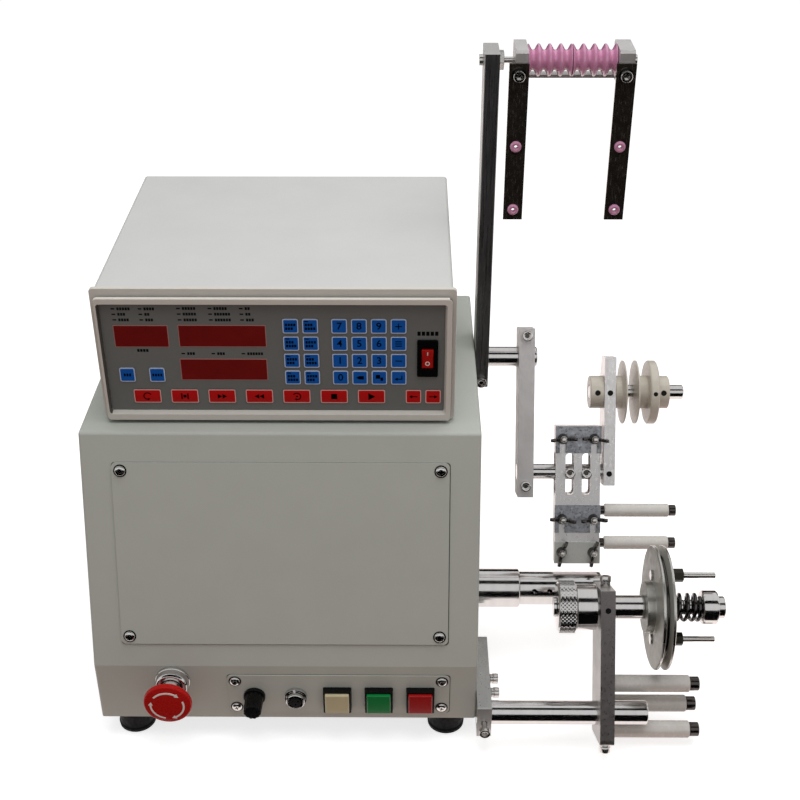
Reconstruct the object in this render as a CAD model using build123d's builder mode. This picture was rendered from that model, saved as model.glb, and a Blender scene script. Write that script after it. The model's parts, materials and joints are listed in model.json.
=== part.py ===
from build123d import *
from math import cos, sin, tan, radians
import os

# A bench machine that winds wire into coils. X runs to the right along the spindle, Y runs to the
# back and Z runs up. The pieces are drawn from the bench, under the middle of the cabinet's lower
# front edge, and kept with their origin in the mouth of the spindle's bore. All sizes are in
# millimetres and all angles in degrees.

# ---------------------------------------------------------------- shared clearances
running_fit = 0.05          # radial room of a turning or sliding shaft in its bore
assembly_gap = 0.3          # room between pieces that move past each other
hole_gap = 0.1              # radial room of a screw shank in its hole

# ---------------------------------------------------------------- cabinet
cabinet_width = 320.0
cabinet_depth = 298.3
cabinet_height = 253.4
foot_height = 24.0
lower_front_height = 58.2   # plumb strip below the leaning front
front_lean = 16.0
sheet = 2.0                 # thickness of the folded sheet
bend_radius = 3.0
base_thickness = 3.0
foot_radius = 17.0
foot_inset_x = 25.0
foot_inset_y = 20.0

cabinet_floor = foot_height
cabinet_top = cabinet_floor + cabinet_height
kink_z = cabinet_floor + lower_front_height
lean_run = (cabinet_top - kink_z) * tan(radians(front_lean))
lean_length = (cabinet_top - kink_z) / cos(radians(front_lean))
right_wall_x = cabinet_width / 2
base_top = cabinet_floor + base_thickness
lean_face = Plane(origin=(0, 0, kink_z), x_dir=(1, 0, 0),
                  z_dir=(0, -cos(radians(front_lean)), sin(radians(front_lean))))
front_face = Plane.XZ

# ---------------------------------------------------------------- front plates and their screws
access_side_margin = 25.0   # from the plate to the cabinet's side
access_low_margin = 20.6    # from the plate to the lower edge of the leaning face
access_high_margin = 24.5
access_screw_inset = 7.0
plate_thickness = 1.2
plate_corner = 4.0
access_window_margin = 16.0
strip_left_x = -49.6
strip_right_x = 137.0
strip_low_z = 31.0
strip_high_z = 73.0
strip_screw_inset = 6.5
strip_window_margin = 10.0  # from the strip's side edge to the window behind it
pan_head_radius = 4.5
pan_head_height = 2.4
pan_shank_radius = 2.0
pan_shank_length = 7.0

access_width = cabinet_width - 2 * access_side_margin
access_height = lean_length - access_low_margin - access_high_margin
access_centre = access_low_margin + access_height / 2
access_screw_x = access_width / 2 - access_screw_inset
access_screw_y = access_height / 2 - access_screw_inset
strip_centre_x = (strip_left_x + strip_right_x) / 2
strip_centre_z = (strip_low_z + strip_high_z) / 2
strip_width = strip_right_x - strip_left_x
strip_height = strip_high_z - strip_low_z
strip_face = front_face.offset(plate_thickness)

inlet_x = -100.0
inlet_z = 62.0
inlet_width = 27.6
inlet_height = 20.0
inlet_flange_width = 48.0
inlet_flange_height = 27.0

# ---------------------------------------------------------------- switches on the lower strip
fuse_x = -27.5
fuse_z = 50.0
fuse_flange_radius = 9.2
fuse_body_radius = 6.2
fuse_cap_length = 20.0
socket_x = 7.5
socket_z = 50.0
socket_nut_radius = 9.5
socket_barrel_radius = 7.8
socket_barrel_length = 8.0
button_pitch = 35.0
button_middle_x = 77.5
button_z = 48.0
button_side = 24.0
button_bezel_depth = 6.0
button_cap_side = 20.2
button_cap_proud = 2.6      # how far a key stands out of its bezel
button_body_depth = 20.0
button_body_side = 22.2
stop_x = -95.0
stop_z = 67.5
stop_head_radius = 20.0
stop_head_depth = 15.0
stop_collar_radius = 14.5
stop_collar_depth = 11.0
stop_stem_radius = 9.0
stop_gap = 6.0              # from the collar to the back of the released head
stop_body_radius = 11.0
stop_body_depth = 34.0

# ---------------------------------------------------------------- control box
box_centre_x = -1.2
box_width = 274.6
box_height = 113.1
pad_height = 3.0            # the rubber pads lift the box off the cabinet
box_front_y = 79.0
box_back_y = 305.2
box_sheet = 1.5
flange_overhang = 2.5
flange_depth = 4.0
groove_depth = 2.0
rim_side_margin = 0.7
rim_top_margin = 4.7
rim_depth = 3.4
panel_side_margin = 5.05
panel_end_margin = 18.2     # box height that the panel leaves free
panel_above_box = 54.6      # its middle above the box's underside
panel_shift = 1.0           # its middle left of the box's middle
panel_recess = 4.3
panel_thickness = 3.0
pad_radius = 8.0
pad_inset_x = 30.0
pad_inset_y = 18.0

box_low_z = cabinet_top + pad_height
box_high_z = box_low_z + box_height
rim_width = box_width - 2 * rim_side_margin
rim_height = box_height - rim_top_margin
panel_width = box_width - 2 * panel_side_margin
panel_height = box_height - panel_end_margin
panel_centre_x = box_centre_x - panel_shift
panel_centre_z = box_low_z + panel_above_box
rim_y = box_front_y - flange_depth - groove_depth - rim_depth
panel_y = rim_y + panel_recess
rim_centre_z = box_low_z + rim_height / 2
panel_face = Plane.XZ.offset(-panel_y)

# keys of the membrane panel, laid out for the drawn panel and stretched with the real one
drawn_panel_width = 264.5
drawn_panel_height = 94.9
across = panel_width / drawn_panel_width
upward = panel_height / drawn_panel_height
key_proud = 0.5
blue_key_width = 12.3 * across
blue_key_height = 12.6 * upward
key_pitch = 15.2 * across
key_row_pitch = 15.2 * upward
keypad_left_x = panel_centre_x + 44.7 * across
keypad_high_z = panel_centre_z + 35.0 * upward
command_left_x = panel_centre_x + 7.2 * across
red_key_width = 21.8 * across
red_key_height = 12.4 * upward
red_key_low_z = panel_centre_z - 40.4 * upward
red_key_left_x = panel_centre_x - 113.6 * across
red_key_pitch = 29.6 * across
red_key_count = 7
jog_key_width = 12.4 * across
jog_key_left_x = panel_centre_x + 101.9 * across
jog_key_pitch = 15.5 * across
side_key_low_z = panel_centre_z - 21.1 * upward
side_key_first_x = panel_centre_x - 122.8 * across
side_key_second_x = panel_centre_x - 99.3 * across

# windows over the digit displays: centre across, centre up and width; and the rocker switch
window_height = 18.0 * upward
window_proud = 0.4
window_depth = 2.0
step_window = (panel_centre_x - 102.3 * across, panel_centre_z + 19.5 * upward, 41.0 * across)
count_window = (panel_centre_x - 39.55 * across, panel_centre_z + 19.8 * upward, 66.5 * across)
speed_window = (panel_centre_x - 40.3 * across, panel_centre_z - 10.0 * upward, 67.0 * across)
rocker_x = panel_centre_x + 118.95 * across
rocker_z = panel_centre_z + 0.7
rocker_frame_width = 16.3
rocker_frame_height = 32.5
rocker_frame_proud = 1.6
rocker_width = 9.2
rocker_height = 18.5
rocker_tilt = 8.0
rocker_body_depth = 18.0

# board behind the panel, and the power supply on the base plate
board_margin = 12.0
board_thickness = 1.6
module_depth = 22.0
chip_side = 26.0
supply_width = 80.0
supply_height = 48.0
supply_margin = 26.0

# ---------------------------------------------------------------- spindle and its drive
spindle_y = 110.0
spindle_z = 76.0
housing_radius = 17.5
housing_bore = 16.0
housing_end_x = 202.0
spindle_radius = 15.0
spindle_end_x = 276.0
spindle_journal = 10.0
mandrel_bore = 6.0
mandrel_depth = 64.0
set_screw_radius = 2.5
set_screw_x = (215.0, 228.5)
set_screw_lean = 26.0
bearing_width = 7.0
upright_x = 146.0
upright_thickness = 8.0
belt_x = 110.0
belt_width = 15.0
belt_thickness = 2.0
pulley_flange = 2.0
spindle_pulley_radius = 27.0
motor_pulley_radius = 18.0
motor_y = 205.0
motor_z = 108.0
motor_side = 86.0
motor_length = 112.0
motor_plate_x = 78.0
motor_plate_thickness = 8.0
motor_shaft_radius = 7.0

# ---------------------------------------------------------------- traverse
traverse_y = 207.0
traverse_drop = 15.8        # below the top of the cabinet
traverse_radius = 9.0
traverse_inner_x = -10.0
traverse_outer_x = 216.5
bush_radius = 12.0
bush_length = 20.0
bush_block_length = 46.0
bush_block_width = 32.0
screw_drop = 40.0           # lead screw below the traverse shaft
screw_radius = 6.0
nut_block_length = 20.0
nut_block_width = 30.0
stepper_side = 42.3
stepper_length = 40.0
stepper_plate_x = -54.0
stepper_plate_thickness = 6.0

tower_gap = 0.5             # from the cabinet wall to the bar, at the left end of the stroke
tower_thickness = 12.0
tower_depth = 32.0
tower_below = 22.1          # from the traverse shaft down to the bar's end
tower_screw_below = 15.8
clamp_slit = 2.0
traverse_z = cabinet_top - traverse_drop
tower_low_z = traverse_z - tower_below
tower_screw_z = traverse_z - tower_screw_below

link_x = 199.5
link_thickness = 14.0
link_lean = 25.5
link_width = 30.0
link_above = 26.0
link_end = 21.0             # from the guide rod down to the plate's lower end
link_screw_above = 19.5
link_screw_end = 10.5       # from the guide rod down to the lower clamp screw
guide_rise = 91.73          # of the guide rod above the spindle

link_span = (traverse_z - spindle_z - guide_rise) / cos(radians(link_lean))
link_below = link_span + link_end
link_screw_below = -link_span - link_screw_end

guide_rod_radius = 7.0
guide_rod_end_x = 287.0
guide_x = 234.0
guide_width = 40.0
guide_lean = 26.5
guide_depth = 16.0
guide_above = 42.0
guide_below = 82.0
guide_slot_width = 7.5
guide_slot_length = 38.0
guide_slot_pitch = 14.8
guide_slot_centre = -1.0
adjuster_width = 41.0
adjuster_thickness = 2.0
adjuster_slot_width = 5.3
adjuster_slot_pitch = 28.0
wing_nut_radius = 4.5
wing_nut_height = 4.5
wing_span = 13.4
wing_height = 9.0
wing_thickness = 1.6
guide_sleeve_radius = 6.0
guide_neck_length = 4.7
guide_neck_radius = 4.2
guide_pin_root = 10.0
wing_stud_radius = 2.0
wing_nut_u = (31.0, -41.6, -71.7)
adjuster_u = ((18.0, 42.4), (-54.0, -29.0), (-82.0, -62.6))
guide_sleeve_length = 58.0
guide_pin_radius = 3.0
guide_pin_head_radius = 5.0
guide_pin_head_length = 6.0
upper_sleeve_u = -35.0
lower_sleeve_u = -64.7

arm_x = 276.0
arm_thickness = 10.0
arm_lean = 27.0
arm_width = 30.0
arm_below = 13.0
arm_above_shaft = 22.0
arm_span = 72.3
arm_chamfer = 8.0
pulley_shaft_radius = 6.5
pulley_shaft_end_x = 348.0
collar_radius = 14.65
collar_length = 12.0
disc_radius = 28.5
disc_hub_radius = 14.8
left_hub_length = 5.7
lens_rim = 1.2
lens_thickness = 3.6
right_lens_x = 303.0
right_hub_end_x = 315.0
thick_disc_width = 7.7
collar_gap_x = 323.0

# ---------------------------------------------------------------- swinging wire guide on the tower
swing_rise = 268.4          # of the swing axle above the traverse shaft
tower_above = 9.0           # from the swing axle up to the bar's end
axle_radius = 2.5
axle_cap_radius = 4.4
axle_cap_length = 3.6
axle_nut_radius = 8.0
axle_nut_thickness = 3.8
swing_left_x = 184.6
swing_block_left = 9.8
swing_right_x = 265.0
swing_block_right = 12.0
swing_block_depth = 34.0
swing_block_above = 12.0
swing_block_below = 16.0
swing_base_thickness = 2.5
roller_crest = 12.5
roller_groove = 7.75
roller_grooves = 4
roller_crest_flat = 1.2
leg_width = 15.6
leg_thickness = 3.0
leg_below = 127.0
leg_above = 3.0
leg_screw_below = 6.0
left_leg_x = 187.2
right_leg_x = 270.3
eyelets_below = (64.0, 118.0)
eyelet_flange = 4.6
eyelet_body = 3.4
eyelet_bore = 1.8
eyelet_proud = 2.2

swing_y = traverse_y
swing_z = traverse_z + swing_rise
tower_high_z = swing_z + tower_above
leg_low_z = swing_z - leg_below
leg_high_z = swing_z + leg_above
leg_screw_z = swing_z - leg_screw_below
eyelet_z = [swing_z - below for below in eyelets_below]

# ---------------------------------------------------------------- wire tension stand
lower_rod_y = -6.0
lower_rod_z = 37.0
lower_rod_radius = 10.0
lower_rod_end_x = 304.0
bracket_thickness = 12.0
bracket_front_y = -19.0
bracket_back_y = 69.0
bracket_low_z = 21.0
bracket_high_z = 54.0
bracket_screw_y = (17.0, 34.0)
lock_standoff = 8.0

stand_x = 262.0
stand_thickness = 12.0
stand_lean = 29.0
stand_front = 18.0
stand_back = 30.0
stand_below = 22.0
stand_above = 109.0
tension_u = 90.0
knob_x = 227.0
knob_length = 16.0
knob_radius = 22.0
knob_flutes = 36
drum_radius = 19.25
drum_length = 16.7
knob_cap_radius = 8.5
knob_cap_length = 3.0
tension_shaft_radius = 10.0
thread_radius = 6.0
wheel_x = 300.3
wheel_hub_radius = 21.5
wheel_hub_length = 7.0
wheel_radius = 52.0
wheel_width = 10.7
wheel_groove_depth = 7.0
wheel_lip = 2.2
stud_circle = 27.0
standoff_flats = 10.0
standoff_length = 15.0
stud_radius = 2.5
stud_end_x = 360.0
rivet_radius = 4.5
rivet_height = 1.6
spring_radius = 10.9        # of the coil's middle line
spring_wire = 1.35
spring_turns = 5
spring_end_x = 347.6
adjuster_nut_radius = 14.5
adjuster_nut_length = 13.7
end_nut_radius = 9.5
end_nut_length = 5.7
stand_sleeve_radius = 7.3
stand_sleeve_length = 54.0
stand_pin_radius = 3.0
stand_pin_head_radius = 6.0
stand_pin_head_length = 5.0
stand_pin_root = 8.0
bottom_screw_w = -5.0
stand_sleeves = {"upper": (13.8, 21.5), "middle": (28.0, 0.5), "lower": (13.3, -17.8)}

# socket head cap screws
cap_head_radius = 4.6
cap_head_height = 5.0
cap_shank_radius = 2.5
cap_socket_radius = 2.6
short_shank = 8.0
long_shank = 22.0


def leaning(x, y, z, lean):
    """Plane across the X axis: local y runs up and back, local x back and down, normal to +X."""
    turn = radians(lean)
    return Plane(origin=(x, y, z), x_dir=(0, cos(turn), -sin(turn)), z_dir=(1, 0, 0))


def seat(plane, across, along, depth, outward):
    """Screw seat on a leaning piece: a plane at local (across, along), with a given outward way."""
    origin = plane.from_local_coords((across, along, depth))
    way = plane.from_local_coords(outward) - plane.origin
    return Plane(origin=origin, x_dir=(1, 0, 0), z_dir=way)


def cap_screw(shank_length):
    """Socket head cap screw: its seat is the XY plane and its head points up."""
    with BuildPart() as screw:
        with BuildSketch():
            Circle(cap_head_radius)
        extrude(amount=cap_head_height)
        chamfer(screw.edges().sort_by(Axis.Z)[-1], 0.4)
        with BuildSketch(Plane.XY.offset(cap_head_height)):
            RegularPolygon(cap_socket_radius, 6)
        extrude(amount=-cap_head_height * 0.55, mode=Mode.SUBTRACT)
        with BuildSketch():
            Circle(cap_shank_radius)
        extrude(amount=-shank_length)
    return screw.part


def pan_screw():
    """Pan head screw with a cross recess, seated on the XY plane."""
    with BuildPart() as screw:
        with BuildSketch():
            Circle(pan_head_radius)
        extrude(amount=pan_head_height)
        fillet(screw.edges().sort_by(Axis.Z)[-1], pan_head_height * 0.75)
        with BuildSketch(Plane.XY.offset(pan_head_height)):
            Rectangle(pan_head_radius, pan_head_radius * 0.22)
            Rectangle(pan_head_radius * 0.22, pan_head_radius)
        extrude(amount=-pan_head_height * 0.6, mode=Mode.SUBTRACT)
        with BuildSketch():
            Circle(pan_shank_radius)
        extrude(amount=-pan_shank_length)
    return screw.part


def wing_nut():
    """Wing nut seated on the XY plane, with its wings along local X."""
    with BuildPart() as nut:
        with BuildSketch():
            Circle(wing_nut_radius)
        extrude(amount=wing_nut_height, taper=8)
        with BuildSketch(Plane.XZ.offset(-wing_thickness / 2)):
            with BuildLine():
                Polyline((0, 0.6), (wing_nut_radius - 0.6, 0.6), (wing_span / 2, wing_height * 0.55),
                         (wing_span / 2 - 1.2, wing_height), (wing_span / 2 - 4.2, wing_height * 0.85),
                         (wing_nut_radius - 1.6, wing_nut_height), (0, wing_nut_height), close=True)
            make_face()
            mirror(about=Plane.YZ)
        extrude(amount=wing_thickness)
        with BuildSketch(Plane.XY.offset(wing_nut_height + 3.0)):
            Circle(wing_stud_radius)
        extrude(amount=-(wing_nut_height + 3.0 + adjuster_thickness + guide_depth * 0.6))
    return nut.part


def turning_sleeve(start_x, y, z, length, radius, bore):
    """Sleeve that turns on a pin along X, for the wire to run over."""
    with BuildPart() as sleeve:
        with BuildSketch(Plane(origin=(start_x, y, z), x_dir=(0, 1, 0), z_dir=(1, 0, 0))):
            Circle(radius)
            Circle(bore, mode=Mode.SUBTRACT)
        extrude(amount=length)
        chamfer(sleeve.edges().filter_by(GeomType.CIRCLE).group_by(SortBy.RADIUS)[-1], 0.8)
    return sleeve


def shoulder_pin(radius, neck_radius, neck_length, sleeve_length, head_radius, head_length, root):
    """Pin along +Z for a turning sleeve: root in the carrier below z=0, neck, stem and head."""
    stem = neck_length + sleeve_length + 2 * assembly_gap
    with BuildPart() as pin:
        with BuildSketch(Plane.XY.offset(-root)):
            Circle(radius)
        extrude(amount=root + stem)
        if neck_length > 0:
            with BuildSketch():
                Circle(neck_radius)
            extrude(amount=neck_length)
        with BuildSketch(Plane.XY.offset(stem)):
            Circle(head_radius)
        extrude(amount=head_length)
        chamfer(pin.edges().group_by(Axis.Z)[-1], 0.8)
    return pin.part


# ================================================================ cabinet
# Folded shell, open underneath, with the windows that its plates cover.
with BuildPart() as body_shell:
    with BuildSketch(Plane.YZ.offset(-cabinet_width / 2)):
        with BuildLine():
            Polyline((0, cabinet_floor), (0, kink_z), (lean_run, cabinet_top),
                     (cabinet_depth, cabinet_top), (cabinet_depth, cabinet_floor), close=True)
        make_face()
    extrude(amount=cabinet_width)
    outline_edges = body_shell.edges().filter_by(Axis.X).group_by(Axis.Z)[-1]
    fillet(outline_edges, bend_radius)
    side_edges = body_shell.faces().filter_by(Plane.YZ).edges()
    open_edges = body_shell.faces().sort_by(Axis.Z)[0].edges()
    fillet([edge for edge in side_edges if edge not in open_edges], bend_radius * 0.8)
    offset(amount=-sheet, openings=body_shell.faces().sort_by(Axis.Z)[0])
    # service window under the access plate
    with BuildSketch(lean_face):
        with Locations((0, access_centre)):
            RectangleRounded(access_width - 2 * access_window_margin,
                             access_height - 2 * access_window_margin, plate_corner)
    extrude(amount=-sheet * 2, mode=Mode.SUBTRACT)
    with Locations(lean_face):
        with Locations((0, access_centre)):
            with GridLocations(2 * access_screw_x, 2 * access_screw_y, 2, 2):
                Hole(pan_shank_radius + hole_gap, depth=sheet * 2)
    # window under the switch strip, and the emergency stop's hole
    with BuildSketch(front_face):
        with Locations((strip_centre_x, strip_centre_z)):
            RectangleRounded(strip_width - 2 * strip_window_margin,
                             strip_height - strip_window_margin, plate_corner)
        with Locations((stop_x, stop_z)):
            Circle(stop_body_radius + hole_gap)
    extrude(amount=-sheet * 2, mode=Mode.SUBTRACT)
    with Locations(front_face):
        with Locations((strip_centre_x, strip_centre_z)):
            with GridLocations(strip_width - 2 * strip_screw_inset,
                               strip_height - 2 * strip_screw_inset, 2, 2):
                Hole(pan_shank_radius + hole_gap, depth=sheet * 2)
    # right wall: spindle housing, traverse shaft and bracket screws
    with BuildSketch(Plane.YZ.offset(right_wall_x)):
        with Locations((spindle_y, spindle_z)):
            Circle(housing_radius + assembly_gap)
        with Locations((traverse_y, traverse_z)):
            Circle(traverse_radius + assembly_gap)
        for y in bracket_screw_y:
            with Locations((y, lower_rod_z)):
                Circle(cap_shank_radius + hole_gap)
    extrude(amount=-sheet * 2, mode=Mode.SUBTRACT)
    # back wall: mains inlet and cooling slots
    with BuildSketch(Plane.XZ.offset(-cabinet_depth)):
        with Locations((inlet_x, inlet_z)):
            Rectangle(inlet_width + 2 * hole_gap, inlet_height + 2 * hole_gap)
        with Locations((0, cabinet_top - 60)):
            with GridLocations(9.0, 1, 17, 1):
                SlotOverall(46.0, 3.6, rotation=90)
    extrude(amount=sheet * 2, mode=Mode.SUBTRACT)

# Welded frame: base plate, bearing upright, traverse bush block and the plates for both motors.
upright_y = (70.0, 285.0)
inner_gap = sheet + assembly_gap
frame_top_z = cabinet_top - sheet - assembly_gap
stepper_z = traverse_z - screw_drop
with BuildPart() as chassis:
    with BuildSketch(Plane.XY.offset(cabinet_floor)):
        with Locations((0, cabinet_depth / 2)):
            Rectangle(cabinet_width - 2 * inner_gap, cabinet_depth - 2 * inner_gap)
    extrude(amount=base_thickness)
    with BuildSketch(Plane.YZ.offset(upright_x)):
        with BuildLine():
            Polyline((upright_y[0], base_top), (upright_y[0], base_top + 100),
                     (upright_y[0] + 90, frame_top_z), (upright_y[1], frame_top_z),
                     (upright_y[1], base_top), close=True)
        make_face()
    extrude(amount=upright_thickness)
    with BuildSketch(Plane.YZ.offset(upright_x)):
        with Locations((traverse_y, traverse_z - 6)):
            Rectangle(bush_block_width, 2 * (frame_top_z - traverse_z + 6))
    extrude(amount=-bush_block_length)
    with BuildSketch(Plane.YZ.offset(motor_plate_x)):
        with Locations((motor_y, base_top)):
            Rectangle(motor_side + 14, motor_z + motor_side / 2 - base_top + 6,
                      align=(Align.CENTER, Align.MIN))
        with Locations((motor_y, motor_z)):
            Circle(motor_side / 3, mode=Mode.SUBTRACT)
    extrude(amount=motor_plate_thickness)
    with BuildSketch(Plane.YZ.offset(stepper_plate_x)):
        with Locations((traverse_y, base_top)):
            Rectangle(stepper_side + 10, stepper_z + stepper_side / 2 - base_top,
                      align=(Align.CENTER, Align.MIN))
        with Locations((traverse_y, stepper_z)):
            Circle(stepper_side / 3.5, mode=Mode.SUBTRACT)
    extrude(amount=stepper_plate_thickness)
    # bores of the upright: spindle housing, traverse bushes and the end of the lead screw
    with BuildSketch(Plane.YZ.offset(upright_x + upright_thickness)):
        with Locations((spindle_y, spindle_z)):
            Circle(housing_radius + hole_gap)
        with Locations((traverse_y, traverse_z)):
            Circle(bush_radius + hole_gap)
    extrude(amount=-(upright_thickness + bush_block_length), mode=Mode.SUBTRACT)
    with BuildSketch(Plane.YZ.offset(upright_x)):
        with Locations((traverse_y, stepper_z)):
            Circle(screw_radius * 0.7 + running_fit)
    extrude(amount=upright_thickness * 0.75, mode=Mode.SUBTRACT)

# Access plate on the leaning face and switch strip below it.
with BuildPart() as front_plates:
    with BuildSketch(lean_face):
        with Locations((0, access_centre)):
            RectangleRounded(access_width, access_height, plate_corner)
            with GridLocations(2 * access_screw_x, 2 * access_screw_y, 2, 2):
                Circle(pan_shank_radius + hole_gap, mode=Mode.SUBTRACT)
    extrude(amount=plate_thickness)
    with BuildSketch(front_face):
        with Locations((strip_centre_x, strip_centre_z)):
            RectangleRounded(strip_width, strip_height, plate_corner)
            with GridLocations(strip_width - 2 * strip_screw_inset,
                               strip_height - 2 * strip_screw_inset, 2, 2):
                Circle(pan_shank_radius + hole_gap, mode=Mode.SUBTRACT)
        with Locations((fuse_x, fuse_z)):
            Circle(fuse_body_radius + hole_gap, mode=Mode.SUBTRACT)
        with Locations((socket_x, socket_z)):
            Circle(socket_barrel_radius + hole_gap, mode=Mode.SUBTRACT)
        with Locations((button_middle_x, button_z)):
            with GridLocations(button_pitch, 1, 3, 1):
                Rectangle(button_body_side + 2 * hole_gap, button_body_side + 2 * hole_gap,
                          mode=Mode.SUBTRACT)
    extrude(amount=plate_thickness)

# Cross-head screws of both plates, and the cap screws of the lower bracket.
plate_screw = pan_screw()
bracket_face_x = right_wall_x + bracket_thickness
with BuildPart() as cabinet_screws:
    with Locations(lean_face.offset(plate_thickness)):
        with Locations((0, access_centre)):
            with GridLocations(2 * access_screw_x, 2 * access_screw_y, 2, 2):
                add(plate_screw)
    with Locations(strip_face):
        with Locations((strip_centre_x, strip_centre_z)):
            with GridLocations(strip_width - 2 * strip_screw_inset,
                               strip_height - 2 * strip_screw_inset, 2, 2):
                add(plate_screw)
    with Locations(Plane.YZ.offset(bracket_face_x)):
        with Locations(*[(y, lower_rod_z) for y in bracket_screw_y]):
            add(cap_screw(bracket_thickness + sheet + 4))
    # locking screw of the lower rod, standing out of the bracket's front
    lock_face = Plane(origin=(right_wall_x + bracket_thickness / 2, bracket_front_y - lock_standoff,
                              lower_rod_z), x_dir=(1, 0, 0), z_dir=(0, -1, 0))
    with Locations(lock_face):
        add(cap_screw(lock_standoff + lower_rod_y - lower_rod_radius - bracket_front_y - hole_gap))

# Rubber feet under the cabinet and the four pads between cabinet and control box.
with BuildPart() as rubber_feet:
    with BuildSketch(Plane.XY.offset(cabinet_floor)):
        with Locations((0, cabinet_depth / 2)):
            with GridLocations(cabinet_width - 2 * foot_inset_x, cabinet_depth - 2 * foot_inset_y, 2, 2):
                Circle(foot_radius)
    extrude(amount=-foot_height, taper=4)
    fillet(rubber_feet.edges().group_by(Axis.Z)[0], 1.5)
    with BuildSketch(Plane.XY.offset(cabinet_top)):
        with Locations((box_centre_x, (box_front_y + box_back_y) / 2)):
            with GridLocations(box_width - 2 * pad_inset_x,
                               box_back_y - box_front_y - 2 * pad_inset_y, 2, 2):
                Circle(pad_radius)
    extrude(amount=pad_height)

# Panel fuse holder: flange, cap with finger grooves and the body behind the strip.
with BuildPart() as fuse_holder:
    with BuildSketch(strip_face):
        with Locations((fuse_x, fuse_z)):
            Circle(fuse_flange_radius)
    extrude(amount=3.0)
    fillet(fuse_holder.edges().sort_by(Axis.Y)[0], 0.8)
    with BuildSketch(strip_face.offset(3.0)):
        with Locations((fuse_x, fuse_z)):
            Circle(fuse_flange_radius * 0.86)
            with PolarLocations(fuse_flange_radius * 0.9, 12):
                Circle(0.9, mode=Mode.SUBTRACT)
    extrude(amount=fuse_cap_length - 3.0, taper=2)
    chamfer(fuse_holder.faces().sort_by(Axis.Y)[0].edges(), 0.4)
    with BuildSketch(strip_face):
        with Locations((fuse_x, fuse_z)):
            Circle(fuse_body_radius)
    extrude(amount=-28.0)

# Round panel socket: barrel, nut and the insert with its pins.
with BuildPart() as round_socket:
    with BuildSketch(strip_face.offset(socket_barrel_length)):
        with Locations((socket_x, socket_z)):
            Circle(socket_barrel_radius)
    extrude(amount=-socket_barrel_length - 14.0)
    chamfer(round_socket.edges().sort_by(Axis.Y)[0], 0.6)
    with BuildSketch(strip_face.offset(socket_barrel_length)):
        with Locations((socket_x, socket_z)):
            Circle(socket_barrel_radius - 1.4)
            Circle(socket_barrel_radius - 2.6, mode=Mode.SUBTRACT)
    extrude(amount=-5.0, mode=Mode.SUBTRACT)
    with BuildSketch(strip_face):
        with Locations((socket_x, socket_z)):
            Circle(socket_nut_radius)
            Circle(socket_barrel_radius, mode=Mode.SUBTRACT)
    extrude(amount=3.2)
    with BuildSketch(strip_face.offset(socket_barrel_length)):
        with Locations((socket_x, socket_z)):
            with PolarLocations(2.6, 3, start_angle=30):
                Circle(0.7)
    extrude(amount=-3.0, mode=Mode.SUBTRACT)

# Emergency stop: collar with its body behind the wall, and the mushroom head that is pressed.
stop_bore_depth = stop_collar_depth + stop_body_depth * 0.6
stop_head_back = stop_collar_depth + stop_gap
with BuildPart() as stop_collar:
    with BuildSketch(front_face):
        with Locations((stop_x, stop_z)):
            Circle(stop_collar_radius)
    extrude(amount=stop_collar_depth)
    chamfer(stop_collar.edges().sort_by(Axis.Y)[0], 1.5)
    with BuildSketch(front_face):
        with Locations((stop_x, stop_z)):
            Circle(stop_body_radius)
    extrude(amount=-stop_body_depth)
    with BuildSketch(front_face.offset(stop_collar_depth)):
        with Locations((stop_x, stop_z)):
            Circle(stop_stem_radius + assembly_gap)
    extrude(amount=-stop_bore_depth, mode=Mode.SUBTRACT)

stop_head_face = front_face.offset(stop_head_back)
with BuildPart() as stop_button:
    with BuildSketch(stop_head_face):
        with Locations((stop_x, stop_z)):
            Circle(stop_head_radius)
    extrude(amount=stop_head_depth)
    fillet(stop_button.edges().filter_by(GeomType.CIRCLE).sort_by(Axis.Y)[0], stop_head_depth * 0.55)
    fillet(stop_button.edges().filter_by(GeomType.CIRCLE).sort_by(Axis.Y)[-1], 1.5)
    with BuildSketch(stop_head_face):
        with Locations((stop_x, stop_z)):
            Circle(stop_stem_radius)
    extrude(amount=-stop_bore_depth * 0.7)

# ================================================================ key switches
key_centres = {"reset": -button_pitch, "start": 0.0, "halt": button_pitch}
with BuildPart() as switch_bezels:
    with BuildSketch(strip_face):
        with Locations((button_middle_x, button_z)):
            with GridLocations(button_pitch, 1, 3, 1):
                RectangleRounded(button_side, button_side, 1.0)
    extrude(amount=button_bezel_depth, taper=3)
    with BuildSketch(strip_face):
        with Locations((button_middle_x, button_z)):
            with GridLocations(button_pitch, 1, 3, 1):
                Rectangle(button_body_side, button_body_side)
    extrude(amount=-button_body_depth)
    with BuildSketch(strip_face.offset(button_bezel_depth)):
        with Locations((button_middle_x, button_z)):
            with GridLocations(button_pitch, 1, 3, 1):
                Rectangle(button_cap_side + 2 * assembly_gap, button_cap_side + 2 * assembly_gap)
    extrude(amount=-(button_bezel_depth + button_body_depth * 0.75), mode=Mode.SUBTRACT)
    # frame of the mains rocker in the control panel
    with BuildSketch(panel_face.offset(rocker_frame_proud)):
        with Locations((rocker_x, rocker_z)):
            RectangleRounded(rocker_frame_width, rocker_frame_height, 1.2)
    extrude(amount=-rocker_frame_proud)
    with BuildSketch(panel_face):
        with Locations((rocker_x, rocker_z)):
            Rectangle(rocker_frame_width - 3.4, rocker_frame_height - 3.4)
    extrude(amount=-rocker_body_depth)
    with BuildSketch(panel_face.offset(rocker_frame_proud)):
        with Locations((rocker_x, rocker_z)):
            Rectangle(rocker_width + 2 * assembly_gap, rocker_height + 2 * assembly_gap)
    extrude(amount=-(rocker_frame_proud + rocker_body_depth * 0.7), mode=Mode.SUBTRACT)

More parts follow.
